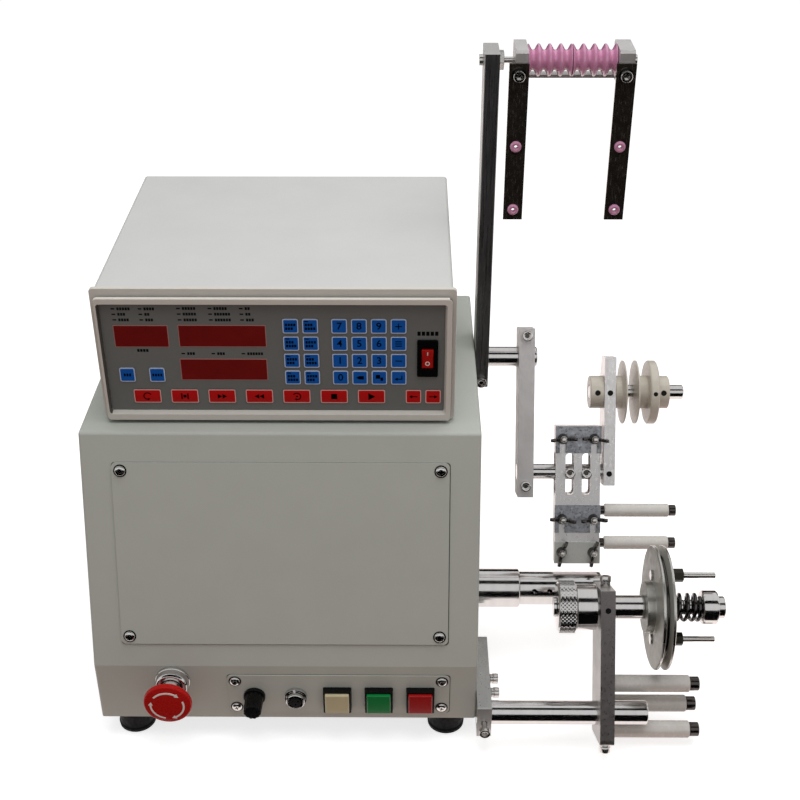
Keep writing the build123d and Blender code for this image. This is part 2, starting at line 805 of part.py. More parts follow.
key_caps = {}
for key_name, key_x in key_centres.items():
    with BuildPart() as key_cap:
        with BuildSketch(strip_face.offset(button_bezel_depth + button_cap_proud)):
            with Locations((button_middle_x + key_x, button_z)):
                RectangleRounded(button_cap_side, button_cap_side, 1.0)
        extrude(amount=-(button_bezel_depth + button_cap_proud + button_body_depth * 0.5))
        chamfer(key_cap.faces().sort_by(Axis.Y)[0].edges(), 0.8)
    key_caps[key_name] = key_cap

# Rocker paddle: shallow V across its pivot, resting on its lower half.
rocker_pivot_y = panel_y + 3.0
rocker_plane = Plane(origin=(rocker_x - rocker_width / 2, rocker_pivot_y, rocker_z),
                     x_dir=(0, cos(radians(rocker_tilt)), sin(radians(rocker_tilt))), z_dir=(1, 0, 0))
rocker_half = rocker_height / 2 - 0.6
with BuildPart() as power_rocker:
    with BuildSketch(rocker_plane):
        with BuildLine():
            Line((-4.6, rocker_half), (-3.4, 0))
            Line((-3.4, 0), (-4.6, -rocker_half))
            Line((-4.6, -rocker_half), (-2.4, -rocker_half))
            ThreePointArc((-2.4, -rocker_half), (3.8, 0), (-2.4, rocker_half))
            Line((-2.4, rocker_half), (-4.6, rocker_half))
        make_face()
    extrude(amount=rocker_width)

# ================================================================ control box
# Folded case behind the moulded bezel, open at the front.
box_middle_z = (box_low_z + box_high_z) / 2
with BuildPart() as box_case:
    with BuildSketch(Plane.XZ.offset(-box_front_y)):
        with Locations((box_centre_x, box_middle_z)):
            RectangleRounded(box_width, box_high_z - box_low_z, bend_radius)
    extrude(amount=-(box_back_y - box_front_y))
    offset(amount=-box_sheet, openings=box_case.faces().sort_by(Axis.Y)[0])
    with BuildSketch(Plane.XZ.offset(-box_back_y)):
        with Locations((box_centre_x, box_middle_z)):
            with GridLocations(9.0, 1, 13, 1):
                SlotOverall(42.0, 3.6, rotation=90)
    extrude(amount=box_sheet * 2, mode=Mode.SUBTRACT)

# Moulded bezel: rear flange, shadow groove, rim, and a chamfered mouth down to the panel.
flange_width = box_width + 2 * flange_overhang
flange_height = box_high_z - box_low_z + flange_overhang
with BuildPart() as box_bezel:
    with BuildSketch(Plane.XZ.offset(-box_front_y)):
        with Locations((box_centre_x, box_middle_z)):
            RectangleRounded(flange_width, flange_height, 3.0)
    extrude(amount=flange_depth)
    with BuildSketch(Plane.XZ.offset(-(box_front_y - flange_depth))):
        with Locations((box_centre_x, rim_centre_z)):
            RectangleRounded(rim_width - 3, rim_height - 3, 2.0)
    extrude(amount=groove_depth)
    with BuildSketch(Plane.XZ.offset(-(rim_y + rim_depth))):
        with Locations((box_centre_x, rim_centre_z)):
            RectangleRounded(rim_width, rim_height, 3.0)
    extrude(amount=rim_depth)
    fillet(box_bezel.faces().sort_by(Axis.Y)[0].edges(), 0.8)
    with BuildSketch(Plane.XZ.offset(-rim_y)):
        with Locations((panel_centre_x, panel_centre_z)):
            RectangleRounded(panel_width + 3.0, panel_height + 3.0, 2.5)
    with BuildSketch(Plane.XZ.offset(-panel_y)):
        with Locations((panel_centre_x, panel_centre_z)):
            RectangleRounded(panel_width, panel_height, 1.0)
    loft(mode=Mode.SUBTRACT)
    with BuildSketch(Plane.XZ.offset(-panel_y)):
        with Locations((panel_centre_x, panel_centre_z)):
            RectangleRounded(panel_width, panel_height, 1.0)
    extrude(amount=-(box_front_y - panel_y), mode=Mode.SUBTRACT)

# Panel behind the bezel's mouth, with raised membrane keys and the windows' cut-outs.
blue_keys = []
for row in range(4):
    for column in range(4):
        blue_keys.append((keypad_left_x + column * key_pitch, keypad_high_z - row * key_row_pitch))
for row in range(4):
    for column in range(2):
        blue_keys.append((command_left_x + column * key_pitch, keypad_high_z - row * key_row_pitch))
for left in (side_key_first_x, side_key_second_x):
    blue_keys.append((left, side_key_low_z + blue_key_height))
red_keys = [red_key_left_x + index * red_key_pitch for index in range(red_key_count)]
jog_keys = [jog_key_left_x + index * jog_key_pitch for index in range(2)]
windows = (step_window, count_window, speed_window)
with BuildPart() as box_panel:
    with BuildSketch(panel_face):
        with Locations((panel_centre_x, panel_centre_z)):
            RectangleRounded(panel_width - 0.4, panel_height - 0.4, 0.8)
        for centre_x, centre_z, width in windows:
            with Locations((centre_x, centre_z)):
                Rectangle(width + 2 * hole_gap, window_height + 2 * hole_gap, mode=Mode.SUBTRACT)
        with Locations((rocker_x, rocker_z)):
            Rectangle(rocker_frame_width - 3, rocker_frame_height - 3, mode=Mode.SUBTRACT)
    extrude(amount=-panel_thickness)
    with BuildSketch(panel_face):
        for left, high in blue_keys:
            with Locations((left + blue_key_width / 2, high - blue_key_height / 2)):
                Rectangle(blue_key_width, blue_key_height)
        for left in red_keys:
            with Locations((left + red_key_width / 2, red_key_low_z + red_key_height / 2)):
                Rectangle(red_key_width, red_key_height)
        for left in jog_keys:
            with Locations((left + jog_key_width / 2, red_key_low_z + red_key_height / 2)):
                Rectangle(jog_key_width, red_key_height)
    extrude(amount=key_proud)

# Dark windows over the three digit displays.
with BuildPart() as display_windows:
    with BuildSketch(panel_face.offset(window_proud)):
        for centre_x, centre_z, width in windows:
            with Locations((centre_x, centre_z)):
                Rectangle(width, window_height)
    extrude(amount=-window_depth)

# Control board behind the panel, and the power supply on the base plate.
board_y = box_front_y + rocker_body_depth
board_end_x = rocker_x - rocker_frame_width
board_start_x = panel_centre_x - panel_width / 2 + board_margin
with BuildPart() as electronics:
    with BuildSketch(Plane.XZ.offset(-board_y)):
        with Locations(((board_start_x + board_end_x) / 2, panel_centre_z)):
            Rectangle(board_end_x - board_start_x, panel_height - board_margin)
    extrude(amount=-board_thickness)
    with BuildSketch(Plane.XZ.offset(-board_y - board_thickness)):
        with Locations((count_window[0], panel_centre_z)):
            Rectangle(count_window[2], panel_height / 2)
        with Locations((keypad_left_x, panel_centre_z)):
            Rectangle(chip_side, chip_side)
    extrude(amount=-module_depth)
    with BuildSketch(Plane.XY.offset(base_top)):
        with Locations((supply_width - cabinet_width / 2 - supply_margin, cabinet_depth / 2)):
            Rectangle(supply_width, cabinet_depth - 4 * supply_margin)
    extrude(amount=supply_height)

# ================================================================ spindle and drive
with BuildPart() as spindle_housing:
    with BuildSketch(Plane.YZ.offset(upright_x)):
        with Locations((spindle_y, spindle_z)):
            Circle(housing_radius)
            Circle(housing_bore, mode=Mode.SUBTRACT)
    extrude(amount=housing_end_x - upright_x)
    chamfer(spindle_housing.edges().filter_by(GeomType.CIRCLE).group_by(Axis.X)[-1]
            .sort_by(SortBy.RADIUS)[-1], 0.8)

# Ball bearings of the spindle and linear bushes of the traverse shaft.
bush_seats = (upright_x - bush_block_length, upright_x + upright_thickness - bush_length)
with BuildPart() as bearings:
    for start_x in (upright_x + 2, housing_end_x - bearing_width - 3):
        with BuildSketch(Plane.YZ.offset(start_x)):
            with Locations((spindle_y, spindle_z)):
                Circle(housing_bore)
                Circle(spindle_journal + running_fit, mode=Mode.SUBTRACT)
        extrude(amount=bearing_width)
    for start_x in bush_seats:
        with BuildSketch(Plane.YZ.offset(start_x)):
            with Locations((traverse_y, traverse_z)):
                Circle(bush_radius)
                Circle(traverse_radius + running_fit, mode=Mode.SUBTRACT)
        extrude(amount=bush_length)

# Spindle: nose with the mandrel bore and two set screw holes, journal and belt pulley.
pulley_low_x = belt_x - belt_width / 2 - pulley_flange
pulley_width = belt_width + 2 * pulley_flange
spindle_centre = (spindle_y, spindle_z)
with BuildPart() as spindle_shaft:
    with BuildSketch(Plane.YZ.offset(housing_end_x + assembly_gap)):
        with Locations(spindle_centre):
            Circle(spindle_radius)
    extrude(amount=spindle_end_x - housing_end_x - assembly_gap)
    fillet(spindle_shaft.edges().filter_by(GeomType.CIRCLE).group_by(Axis.X)[-1], 2.0)
    with BuildSketch(Plane.YZ.offset(housing_end_x + assembly_gap)):
        with Locations(spindle_centre):
            Circle(spindle_journal)
    extrude(amount=-(housing_end_x + assembly_gap - pulley_low_x))
    with BuildSketch(Plane.YZ.offset(pulley_low_x)):
        with Locations(spindle_centre):
            Circle(spindle_pulley_radius + pulley_flange)
    extrude(amount=pulley_width)
    with BuildSketch(Plane.YZ.offset(belt_x - belt_width / 2)):
        with Locations(spindle_centre):
            Circle(spindle_pulley_radius + pulley_flange + 1)
            Circle(spindle_pulley_radius, mode=Mode.SUBTRACT)
    extrude(amount=belt_width, mode=Mode.SUBTRACT)
    with BuildSketch(Plane.YZ.offset(spindle_end_x)):
        with Locations(spindle_centre):
            Circle(mandrel_bore)
    extrude(amount=-mandrel_depth, mode=Mode.SUBTRACT)
    lean_way = (0, -cos(radians(set_screw_lean)), sin(radians(set_screw_lean)))
    for x in set_screw_x:
        hole_plane = Plane(origin=(x, spindle_y, spindle_z), x_dir=(1, 0, 0), z_dir=lean_way)
        with BuildSketch(hole_plane):
            Circle(set_screw_radius)
        extrude(amount=spindle_radius + 1, mode=Mode.SUBTRACT)

motor_centre = (motor_y, motor_z)
motor_face_x = motor_plate_x
with BuildPart() as motor_pulley:
    with BuildSketch(Plane.YZ.offset(pulley_low_x)):
        with Locations(motor_centre):
            Circle(motor_pulley_radius + pulley_flange)
    extrude(amount=pulley_width)
    with BuildSketch(Plane.YZ.offset(belt_x - belt_width / 2)):
        with Locations(motor_centre):
            Circle(motor_pulley_radius + pulley_flange + 1)
            Circle(motor_pulley_radius, mode=Mode.SUBTRACT)
    extrude(amount=belt_width, mode=Mode.SUBTRACT)
    with BuildSketch(Plane.YZ.offset(pulley_low_x)):
        with Locations(motor_centre):
            Circle(motor_shaft_radius)
    extrude(amount=-(pulley_low_x - motor_face_x + 20))

# Drive motor with its finned body, and the stepper that turns the lead screw.
with BuildPart() as motors:
    with BuildSketch(Plane.YZ.offset(motor_face_x)):
        with Locations(motor_centre):
            RectangleRounded(motor_side, motor_side, 8)
    extrude(amount=-10)
    with BuildSketch(Plane.YZ.offset(motor_face_x - 10)):
        with Locations(motor_centre):
            RectangleRounded(motor_side - 6, motor_side - 6, 14)
    extrude(amount=-(motor_length - 10))
    with BuildSketch(Plane.YZ.offset(motor_face_x)):
        with Locations(motor_centre):
            Circle(motor_shaft_radius + 1)
    extrude(amount=-24, mode=Mode.SUBTRACT)
    with BuildSketch(Plane.YZ.offset(stepper_plate_x)):
        with Locations((traverse_y, stepper_z)):
            RectangleRounded(stepper_side, stepper_side, 4)
            Circle(screw_radius + 1, mode=Mode.SUBTRACT)
    extrude(amount=-stepper_length)

# Flat belt round both pulleys.
with BuildPart() as drive_belt:
    with BuildSketch(Plane.YZ.offset(belt_x - belt_width / 2 + 1)):
        with Locations(spindle_centre):
            Circle(spindle_pulley_radius + assembly_gap + belt_thickness)
        with Locations(motor_centre):
            Circle(motor_pulley_radius + assembly_gap + belt_thickness)
        make_hull()
        with BuildSketch(Plane.YZ.offset(belt_x - belt_width / 2 + 1), mode=Mode.SUBTRACT):
            with Locations(spindle_centre):
                Circle(spindle_pulley_radius + assembly_gap)
            with Locations(motor_centre):
                Circle(motor_pulley_radius + assembly_gap)
            make_hull()
    extrude(amount=belt_width - 2)

# ================================================================ traverse
with BuildPart() as lead_screw:
    with BuildSketch(Plane.YZ.offset(stepper_plate_x - stepper_length + 4)):
        with Locations((traverse_y, stepper_z)):
            Circle(screw_radius)
    extrude(amount=upright_x - 1 - (stepper_plate_x - stepper_length + 4))
    with BuildSketch(Plane.YZ.offset(upright_x - 1)):
        with Locations((traverse_y, stepper_z)):
            Circle(screw_radius * 0.7)
    extrude(amount=1 + upright_thickness * 0.6)

# Traverse shaft with the nut block clamped on its inner end.
with BuildPart() as traverse_shaft:
    with BuildSketch(Plane.YZ.offset(traverse_inner_x)):
        with Locations((traverse_y, traverse_z)):
            Circle(traverse_radius)
    extrude(amount=traverse_outer_x - traverse_inner_x)
    chamfer(traverse_shaft.edges().sort_by(Axis.X)[-1], 1.0)
    with BuildSketch(Plane.YZ.offset(traverse_inner_x)):
        with Locations((traverse_y, traverse_z + traverse_radius + 2)):
            Rectangle(nut_block_width, screw_drop + traverse_radius + 2 + screw_radius + 6,
                      align=(Align.CENTER, Align.MAX))
        with Locations((traverse_y, stepper_z)):
            Circle(screw_radius + running_fit, mode=Mode.SUBTRACT)
    extrude(amount=nut_block_length)

# Square bar that carries the swinging wire guide, clamped on the traverse shaft.
tower_x = right_wall_x + tower_gap
tower_face_y = traverse_y - tower_depth / 2
tower_seat = Plane(origin=(tower_x + tower_thickness / 2, tower_face_y, tower_screw_z),
                   x_dir=(1, 0, 0), z_dir=(0, -1, 0))
with BuildPart() as tower_bar:
    with BuildSketch(Plane.YZ.offset(tower_x)):
        with Locations((traverse_y, tower_low_z)):
            Rectangle(tower_depth, tower_high_z - tower_low_z, align=(Align.CENTER, Align.MIN))
    extrude(amount=tower_thickness)
    chamfer(tower_bar.edges().filter_by(Axis.Z), 0.6)
    with BuildSketch(Plane.YZ.offset(tower_x)):
        with Locations((traverse_y, traverse_z)):
            Circle(traverse_radius)
        with Locations((traverse_y, tower_low_z)):
            Rectangle(clamp_slit, traverse_z - tower_low_z, align=(Align.CENTER, Align.MIN))
        with Locations((swing_y, swing_z)):
            Circle(axle_radius)
    extrude(amount=tower_thickness, mode=Mode.SUBTRACT)
    with Locations(tower_seat):
        Hole(cap_shank_radius + hole_gap, depth=long_shank + 1)

# Link plate between the traverse shaft and the guide rod, slit at both clamps.
link_top = leaning(link_x, traverse_y, traverse_z, link_lean)
guide_y = traverse_y - link_span * sin(radians(link_lean))
guide_z = traverse_z - link_span * cos(radians(link_lean))
link_seats = [seat(link_top, -link_width / 2, along, link_thickness / 2, (-1, 0, 0))
              for along in (link_screw_above, link_screw_below)]
with BuildPart() as link_plate:
    with BuildSketch(link_top):
        with Locations((0, link_above)):
            Rectangle(link_width, link_above + link_below, align=(Align.CENTER, Align.MAX))
        Circle(traverse_radius, mode=Mode.SUBTRACT)
        Rectangle(clamp_slit, link_above + 1, align=(Align.CENTER, Align.MIN), mode=Mode.SUBTRACT)
        with Locations((0, -link_span)):
            Circle(guide_rod_radius, mode=Mode.SUBTRACT)
            Rectangle(clamp_slit, link_below - link_span + 1, align=(Align.CENTER, Align.MAX),
                      mode=Mode.SUBTRACT)
    extrude(amount=link_thickness)
    with Locations(*link_seats):
        Hole(cap_shank_radius + hole_gap, depth=long_shank + 1)

# Guide block: aluminium block that slides up and down on the guide rod, held by two slot screws.
guide_plane = leaning(guide_x, guide_y, guide_z, guide_lean)
guide_front = seat(guide_plane, -guide_depth / 2, 0, 0, (-1, 0, 0))
slot_x = (guide_width / 2 - guide_slot_pitch / 2, guide_width / 2 + guide_slot_pitch / 2)
stud_x = (guide_width / 2 - adjuster_slot_pitch / 2, guide_width / 2 + adjuster_slot_pitch / 2)
wing_seats = [(x, u) for u in wing_nut_u for x in stud_x]
sleeve_places = [guide_plane.from_local_coords((0, u, guide_width))
                 for u in (upper_sleeve_u, lower_sleeve_u)]
with BuildPart() as guide_block:
    with BuildSketch(guide_plane):
        with Locations((0, guide_above)):
            Rectangle(guide_depth, guide_above + guide_below, align=(Align.CENTER, Align.MAX))
        with Locations((0, guide_slot_centre)):
            SlotOverall(guide_slot_length, 2 * (guide_rod_radius + running_fit), rotation=90,
                        mode=Mode.SUBTRACT)
    extrude(amount=guide_width)
    with BuildSketch(guide_front):
        for x in slot_x:
            with Locations((x, guide_slot_centre)):
                SlotOverall(guide_slot_length, guide_slot_width, rotation=90)
    extrude(amount=-guide_depth / 2, mode=Mode.SUBTRACT)
    with Locations(guide_front):
        with Locations(*wing_seats):
            Hole(wing_stud_radius + hole_gap, depth=guide_depth * 0.7)
    with BuildSketch(Plane.YZ.offset(guide_x + guide_width)):
        for place in sleeve_places:
            with Locations((place.Y, place.Z)):
                Circle(guide_pin_radius + hole_gap)
    extrude(amount=-guide_pin_root - 1, mode=Mode.SUBTRACT)

# Guide rod: carries the guide block and, on its end, the pulley arm.
with BuildPart() as guide_rod:
    with BuildSketch(Plane.YZ.offset(link_x)):
        with Locations((guide_y, guide_z)):
            Circle(guide_rod_radius)
    extrude(amount=guide_rod_end_x - link_x)
    chamfer(guide_rod.edges().filter_by(GeomType.CIRCLE).group_by(Axis.X)[-1], 0.8)
    with BuildSketch(guide_front):
        for x in slot_x:
            with Locations((x, 0)):
                Circle(cap_shank_radius + hole_gap)
    extrude(amount=-(guide_depth / 2 + guide_rod_radius * 0.6), mode=Mode.SUBTRACT)

# Two slotted adjuster plates and the lower plate, clamped on the block by wing nuts.
with BuildPart() as adjuster_plates:
    with BuildSketch(guide_front):
        for low, high in adjuster_u:
            with Locations((guide_width / 2, low)):
                Rectangle(adjuster_width, high - low, align=(Align.CENTER, Align.MIN))
        for x, u in wing_seats[:4]:
            with Locations((x, u + adjuster_slot_width / 2)):
                Rectangle(adjuster_slot_width, 20, align=(Align.CENTER, Align.MAX),
                          mode=Mode.SUBTRACT)
        for x, u in wing_seats[4:]:
            with Locations((x, u)):
                Circle(wing_stud_radius + hole_gap, mode=Mode.SUBTRACT)
    extrude(amount=adjuster_thickness)

# Pulley arm on the end of the guide rod.
arm_plane = leaning(arm_x, guide_y, guide_z, arm_lean)
pulley_y = guide_y + arm_span * sin(radians(arm_lean))
pulley_z = guide_z + arm_span * cos(radians(arm_lean))
arm_top = arm_span + arm_above_shaft
arm_half = arm_width / 2
arm_seats = [seat(arm_plane, -arm_half, along, arm_thickness / 2, (-1, 0, 0))
             for along in (0, arm_span)]
with BuildPart() as pulley_arm:
    with BuildSketch(arm_plane):
        with BuildLine():
            Polyline((-arm_half, -arm_below), (-arm_half, arm_top), (arm_half - arm_chamfer, arm_top),
                     (arm_half, arm_top - arm_chamfer), (arm_half, -arm_below), close=True)
        make_face()
        Circle(guide_rod_radius, mode=Mode.SUBTRACT)
        with Locations((0, arm_span)):
            Circle(pulley_shaft_radius, mode=Mode.SUBTRACT)
    extrude(amount=arm_thickness)
    with Locations(*arm_seats):
        Hole(set_screw_radius, depth=arm_half - guide_rod_radius)

# Pulley shaft, its two collars and the wire discs that turn on it.
pulley_axis = Axis((0, pulley_y, pulley_z), (1, 0, 0))
pulley_plane = Plane(origin=(0, pulley_y, pulley_z), x_dir=(1, 0, 0), z_dir=(0, -1, 0))
collar_low_x = arm_x - collar_length
with BuildPart() as pulley_shaft:
    with BuildSketch(pulley_plane):
        with Locations((collar_low_x, 0)):
            Rectangle(pulley_shaft_end_x - collar_low_x, pulley_shaft_radius,
                      align=(Align.MIN, Align.MIN))
    revolve(axis=pulley_axis)
    chamfer(pulley_shaft.edges().filter_by(GeomType.CIRCLE), 1.0)

with BuildPart() as shaft_collars:
    for low_x, length in ((collar_low_x, collar_length), (collar_gap_x, collar_length - 1)):
        with BuildSketch(Plane(origin=(low_x, pulley_y, pulley_z), x_dir=(0, 1, 0), z_dir=(1, 0, 0))):
            Circle(collar_radius)
            Circle(pulley_shaft_radius, mode=Mode.SUBTRACT)
        extrude(amount=length)
    chamfer(shaft_collars.edges().filter_by(GeomType.CIRCLE).group_by(SortBy.RADIUS)[-1], 0.6)
    for low_x, length in ((collar_low_x, collar_length), (collar_gap_x, collar_length - 1)):
        with BuildSketch(Plane(origin=(low_x + length / 2, pulley_y, pulley_z), x_dir=(1, 0, 0),
                               z_dir=(0, -cos(radians(arm_lean)), sin(radians(arm_lean))))):
            Circle(set_screw_radius)
        extrude(amount=collar_radius + 1, mode=Mode.SUBTRACT)

disc_bore = pulley_shaft_radius + running_fit
left_hub_x = arm_x + arm_thickness + assembly_gap
left_lens_x = left_hub_x + left_hub_length
with BuildPart() as left_wire_disc:
    with BuildSketch(pulley_plane):
        with BuildLine():
            Polyline((left_hub_x, disc_bore), (left_hub_x, disc_hub_radius),
                     (left_lens_x, disc_hub_radius),
                     (left_lens_x + (lens_thickness - lens_rim) / 2, disc_radius),
                     (left_lens_x + (lens_thickness + lens_rim) / 2, disc_radius),
                     (left_lens_x + lens_thickness, disc_hub_radius * 0.7),
                     (left_lens_x + lens_thickness, disc_bore), close=True)
        make_face()
    revolve(axis=pulley_axis)

thick_disc_x = right_hub_end_x
thick_disc_end_x = thick_disc_x + thick_disc_width
with BuildPart() as right_wire_disc:
    with BuildSketch(pulley_plane):
        with BuildLine():
            Polyline((right_lens_x, disc_bore), (right_lens_x, disc_hub_radius * 0.7),
                     (right_lens_x + (lens_thickness - lens_rim) / 2, disc_radius),
                     (right_lens_x + (lens_thickness + lens_rim) / 2, disc_radius),
                     (right_lens_x + lens_thickness, disc_hub_radius),
                     (thick_disc_x, disc_hub_radius), (thick_disc_x, disc_radius - 1),
                     (thick_disc_x + 1, disc_radius), (thick_disc_end_x - 1, disc_radius),
                     (thick_disc_end_x, disc_radius - 1), (thick_disc_end_x, disc_bore), close=True)
        make_face()
    revolve(axis=pulley_axis)
    with BuildSketch(Plane(origin=(thick_disc_x + thick_disc_width / 2, pulley_y, pulley_z),
                           x_dir=(1, 0, 0),
                           z_dir=(0, -cos(radians(arm_lean)), sin(radians(arm_lean))))):
        Circle(set_screw_radius * 0.8)
    extrude(amount=disc_radius + 1, mode=Mode.SUBTRACT)

# Turning sleeves of the guide block, and all the fasteners that ride with the traverse.
upper_place, lower_place = sleeve_places
guide_sleeve_x = guide_x + guide_width + guide_neck_length + assembly_gap
guide_bore = guide_pin_radius + running_fit
upper_guide_sleeve = turning_sleeve(guide_sleeve_x, upper_place.Y, upper_place.Z,
                                    guide_sleeve_length, guide_sleeve_radius, guide_bore)
lower_guide_sleeve = turning_sleeve(guide_sleeve_x, lower_place.Y, lower_place.Z,
                                    guide_sleeve_length, guide_sleeve_radius, guide_bore)
guide_pin = shoulder_pin(guide_pin_radius, guide_neck_radius, guide_neck_length, guide_sleeve_length,
                         guide_pin_head_radius, guide_pin_head_length, guide_pin_root)
with BuildPart() as traverse_fasteners:
    with Locations(tower_seat, *link_seats):
        add(cap_screw(long_shank))
    with Locations(guide_front):
        with Locations(*[(x, 0) for x in slot_x]):
            add(cap_screw(guide_depth / 2 + guide_rod_radius * 0.5))
    with Locations(guide_front.offset(adjuster_thickness)):
        with Locations(*wing_seats):
            add(wing_nut())
    with Locations(Plane.YZ.offset(guide_x + guide_width)):
        with Locations(*[(place.Y, place.Z) for place in sleeve_places]):
            add(guide_pin)

# ================================================================ swinging wire guide
swing_axis = Axis((0, swing_y, swing_z), (1, 0, 0))
swing_plane = Plane(origin=(0, swing_y, swing_z), x_dir=(1, 0, 0), z_dir=(0, -1, 0))
swing_end_x = swing_right_x + swing_block_right
tower_end_x = tower_x + tower_thickness
axle_cap_x = swing_end_x + assembly_gap
with BuildPart() as swing_axle:
    with BuildSketch(swing_plane):
        with Locations((tower_x, 0)):
            Rectangle(axle_cap_x - tower_x, axle_radius, align=(Align.MIN, Align.MIN))
        with Locations((tower_x - axle_cap_length, 0)):
            Rectangle(axle_cap_length, axle_cap_radius, align=(Align.MIN, Align.MIN))
        with Locations((axle_cap_x, 0)):
            Rectangle(axle_cap_length, axle_cap_radius, align=(Align.MIN, Align.MIN))
    revolve(axis=swing_axis)
    with BuildSketch(Plane(origin=(tower_end_x, swing_y, swing_z), x_dir=(0, 1, 0), z_dir=(1, 0, 0))):
        RegularPolygon(axle_nut_radius, 6)
    extrude(amount=axle_nut_thickness)

swing_front_y = swing_y - swing_block_depth / 2
leg_screw_seats = [Plane(origin=(x, swing_front_y - leg_thickness, leg_screw_z), x_dir=(1, 0, 0),
                         z_dir=(0, -1, 0)) for x in (left_leg_x, right_leg_x)]
with BuildPart() as swing_frame:
    for low_x, width in ((swing_left_x, swing_block_left), (swing_right_x, swing_block_right)):
        with BuildSketch(Plane(origin=(low_x, swing_y, swing_z), x_dir=(0, 1, 0), z_dir=(1, 0, 0))):
            with Locations((0, -swing_block_below)):
                Rectangle(swing_block_depth, swing_block_above + swing_block_below,
                          align=(Align.CENTER, Align.MIN))
        extrude(amount=width)
    chamfer(swing_frame.edges().filter_by(Axis.X).group_by(Axis.Z)[-1], 2.0)
    with BuildSketch(Plane(origin=(swing_left_x, swing_y, swing_z - swing_block_below),
                           x_dir=(0, 1, 0), z_dir=(1, 0, 0))):
        Rectangle(swing_block_depth - 4, swing_base_thickness, align=(Align.CENTER, Align.MIN))
    extrude(amount=swing_end_x - swing_left_x)
    with BuildSketch(Plane(origin=(swing_left_x, swing_y, swing_z), x_dir=(0, 1, 0),
                           z_dir=(1, 0, 0))):
        Circle(axle_radius + running_fit)
    extrude(amount=swing_end_x - swing_left_x, mode=Mode.SUBTRACT)
    with Locations(*leg_screw_seats):
        Hole(cap_shank_radius + hole_gap, depth=leg_thickness + short_shank + 1)

# Grooved ceramic rollers, side by side on the axle.
roller_length = (swing_right_x - swing_left_x - swing_block_left - 3 * assembly_gap) / 2
left_roller_x = swing_left_x + swing_block_left + assembly_gap
roller_starts = {"left": left_roller_x, "right": left_roller_x + roller_length + assembly_gap}
groove_pitch = roller_length / roller_grooves
rollers = {}
for side, start_x in roller_starts.items():
    with BuildPart() as roller:
        with BuildSketch(swing_plane):
            with BuildLine():
                Line((start_x, axle_radius + running_fit), (start_x, roller_crest))
                for index in range(roller_grooves):
                    left = start_x + index * groove_pitch
                    middle = left + groove_pitch / 2
                    right = left + groove_pitch
                    crest = roller_crest_flat / 2
                    Line((left, roller_crest), (left + crest, roller_crest))
                    Line((left + crest, roller_crest), (middle - 1.1, roller_groove + 0.4))
                    ThreePointArc((middle - 1.1, roller_groove + 0.4), (middle, roller_groove),
                                  (middle + 1.1, roller_groove + 0.4))
                    Line((middle + 1.1, roller_groove + 0.4), (right - crest, roller_crest))
                    Line((right - crest, roller_crest), (right, roller_crest))
                end_x = start_x + roller_length
                Line((end_x, roller_crest), (end_x, axle_radius + running_fit))
                Line((end_x, axle_radius + running_fit), (start_x, axle_radius + running_fit))
            make_face()
        revolve(axis=swing_axis)
    rollers[side] = roller

# Hanging legs with their screws, and the ceramic eyelets that the wire runs through.
leg_face = Plane.XZ.offset(-swing_front_y)
leg_centres = (left_leg_x, right_leg_x)
eyelet_places = [(x, z) for x in leg_centres for z in eyelet_z]
with BuildPart() as swing_legs:
    with BuildSketch(leg_face):
        for x in leg_centres:
            with Locations((x, leg_low_z)):
                Rectangle(leg_width, leg_high_z - leg_low_z, align=(Align.CENTER, Align.MIN))
            with Locations((x, leg_screw_z)):
                Circle(cap_shank_radius + hole_gap, mode=Mode.SUBTRACT)
        with Locations(*eyelet_places):
            Circle(eyelet_body + hole_gap, mode=Mode.SUBTRACT)
    extrude(amount=leg_thickness)
    with Locations(*leg_screw_seats):
        add(cap_screw(leg_thickness + short_shank))

with BuildPart() as eyelets:
    with BuildSketch(leg_face.offset(leg_thickness)):
        with Locations(*eyelet_places):
            Circle(eyelet_flange)
    extrude(amount=eyelet_proud)
    fillet(eyelets.edges().group_by(Axis.Y)[0], 0.9)
    with BuildSketch(leg_face.offset(leg_thickness)):
        with Locations(*eyelet_places):
            Circle(eyelet_body)
    extrude(amount=-leg_thickness - 0.8)
    with BuildSketch(leg_face.offset(leg_thickness + eyelet_proud)):
        with Locations(*eyelet_places):
            Circle(eyelet_bore)
    extrude(amount=-leg_thickness - eyelet_proud - 1.0, mode=Mode.SUBTRACT)

# ================================================================ wire tension stand
with BuildPart() as lower_bracket:
    with BuildSketch(Plane.YZ.offset(right_wall_x)):
        with Locations((bracket_front_y, bracket_low_z)):
            Rectangle(bracket_back_y - bracket_front_y, bracket_high_z - bracket_low_z,
                      align=(Align.MIN, Align.MIN))
        with Locations((lower_rod_y, lower_rod_z)):
            Circle(lower_rod_radius, mode=Mode.SUBTRACT)
        for y in bracket_screw_y:
            with Locations((y, lower_rod_z)):
                Circle(cap_shank_radius + hole_gap, mode=Mode.SUBTRACT)
    extrude(amount=bracket_thickness)
    chamfer(lower_bracket.edges().filter_by(Axis.X).filter_by(GeomType.LINE).sort_by(Axis.Y)[:2], 1.0)
    with Locations(lock_face.offset(-lock_standoff)):
        Hole(cap_shank_radius + hole_gap,
             depth=lower_rod_y - lower_rod_radius - bracket_front_y + 1)

with BuildPart() as lower_rod:
    with BuildSketch(Plane.YZ.offset(right_wall_x)):
        with Locations((lower_rod_y, lower_rod_z)):
            Circle(lower_rod_radius)
    extrude(amount=lower_rod_end_x - right_wall_x)
    chamfer(lower_rod.edges().filter_by(GeomType.CIRCLE).group_by(Axis.X)[-1], 1.0)

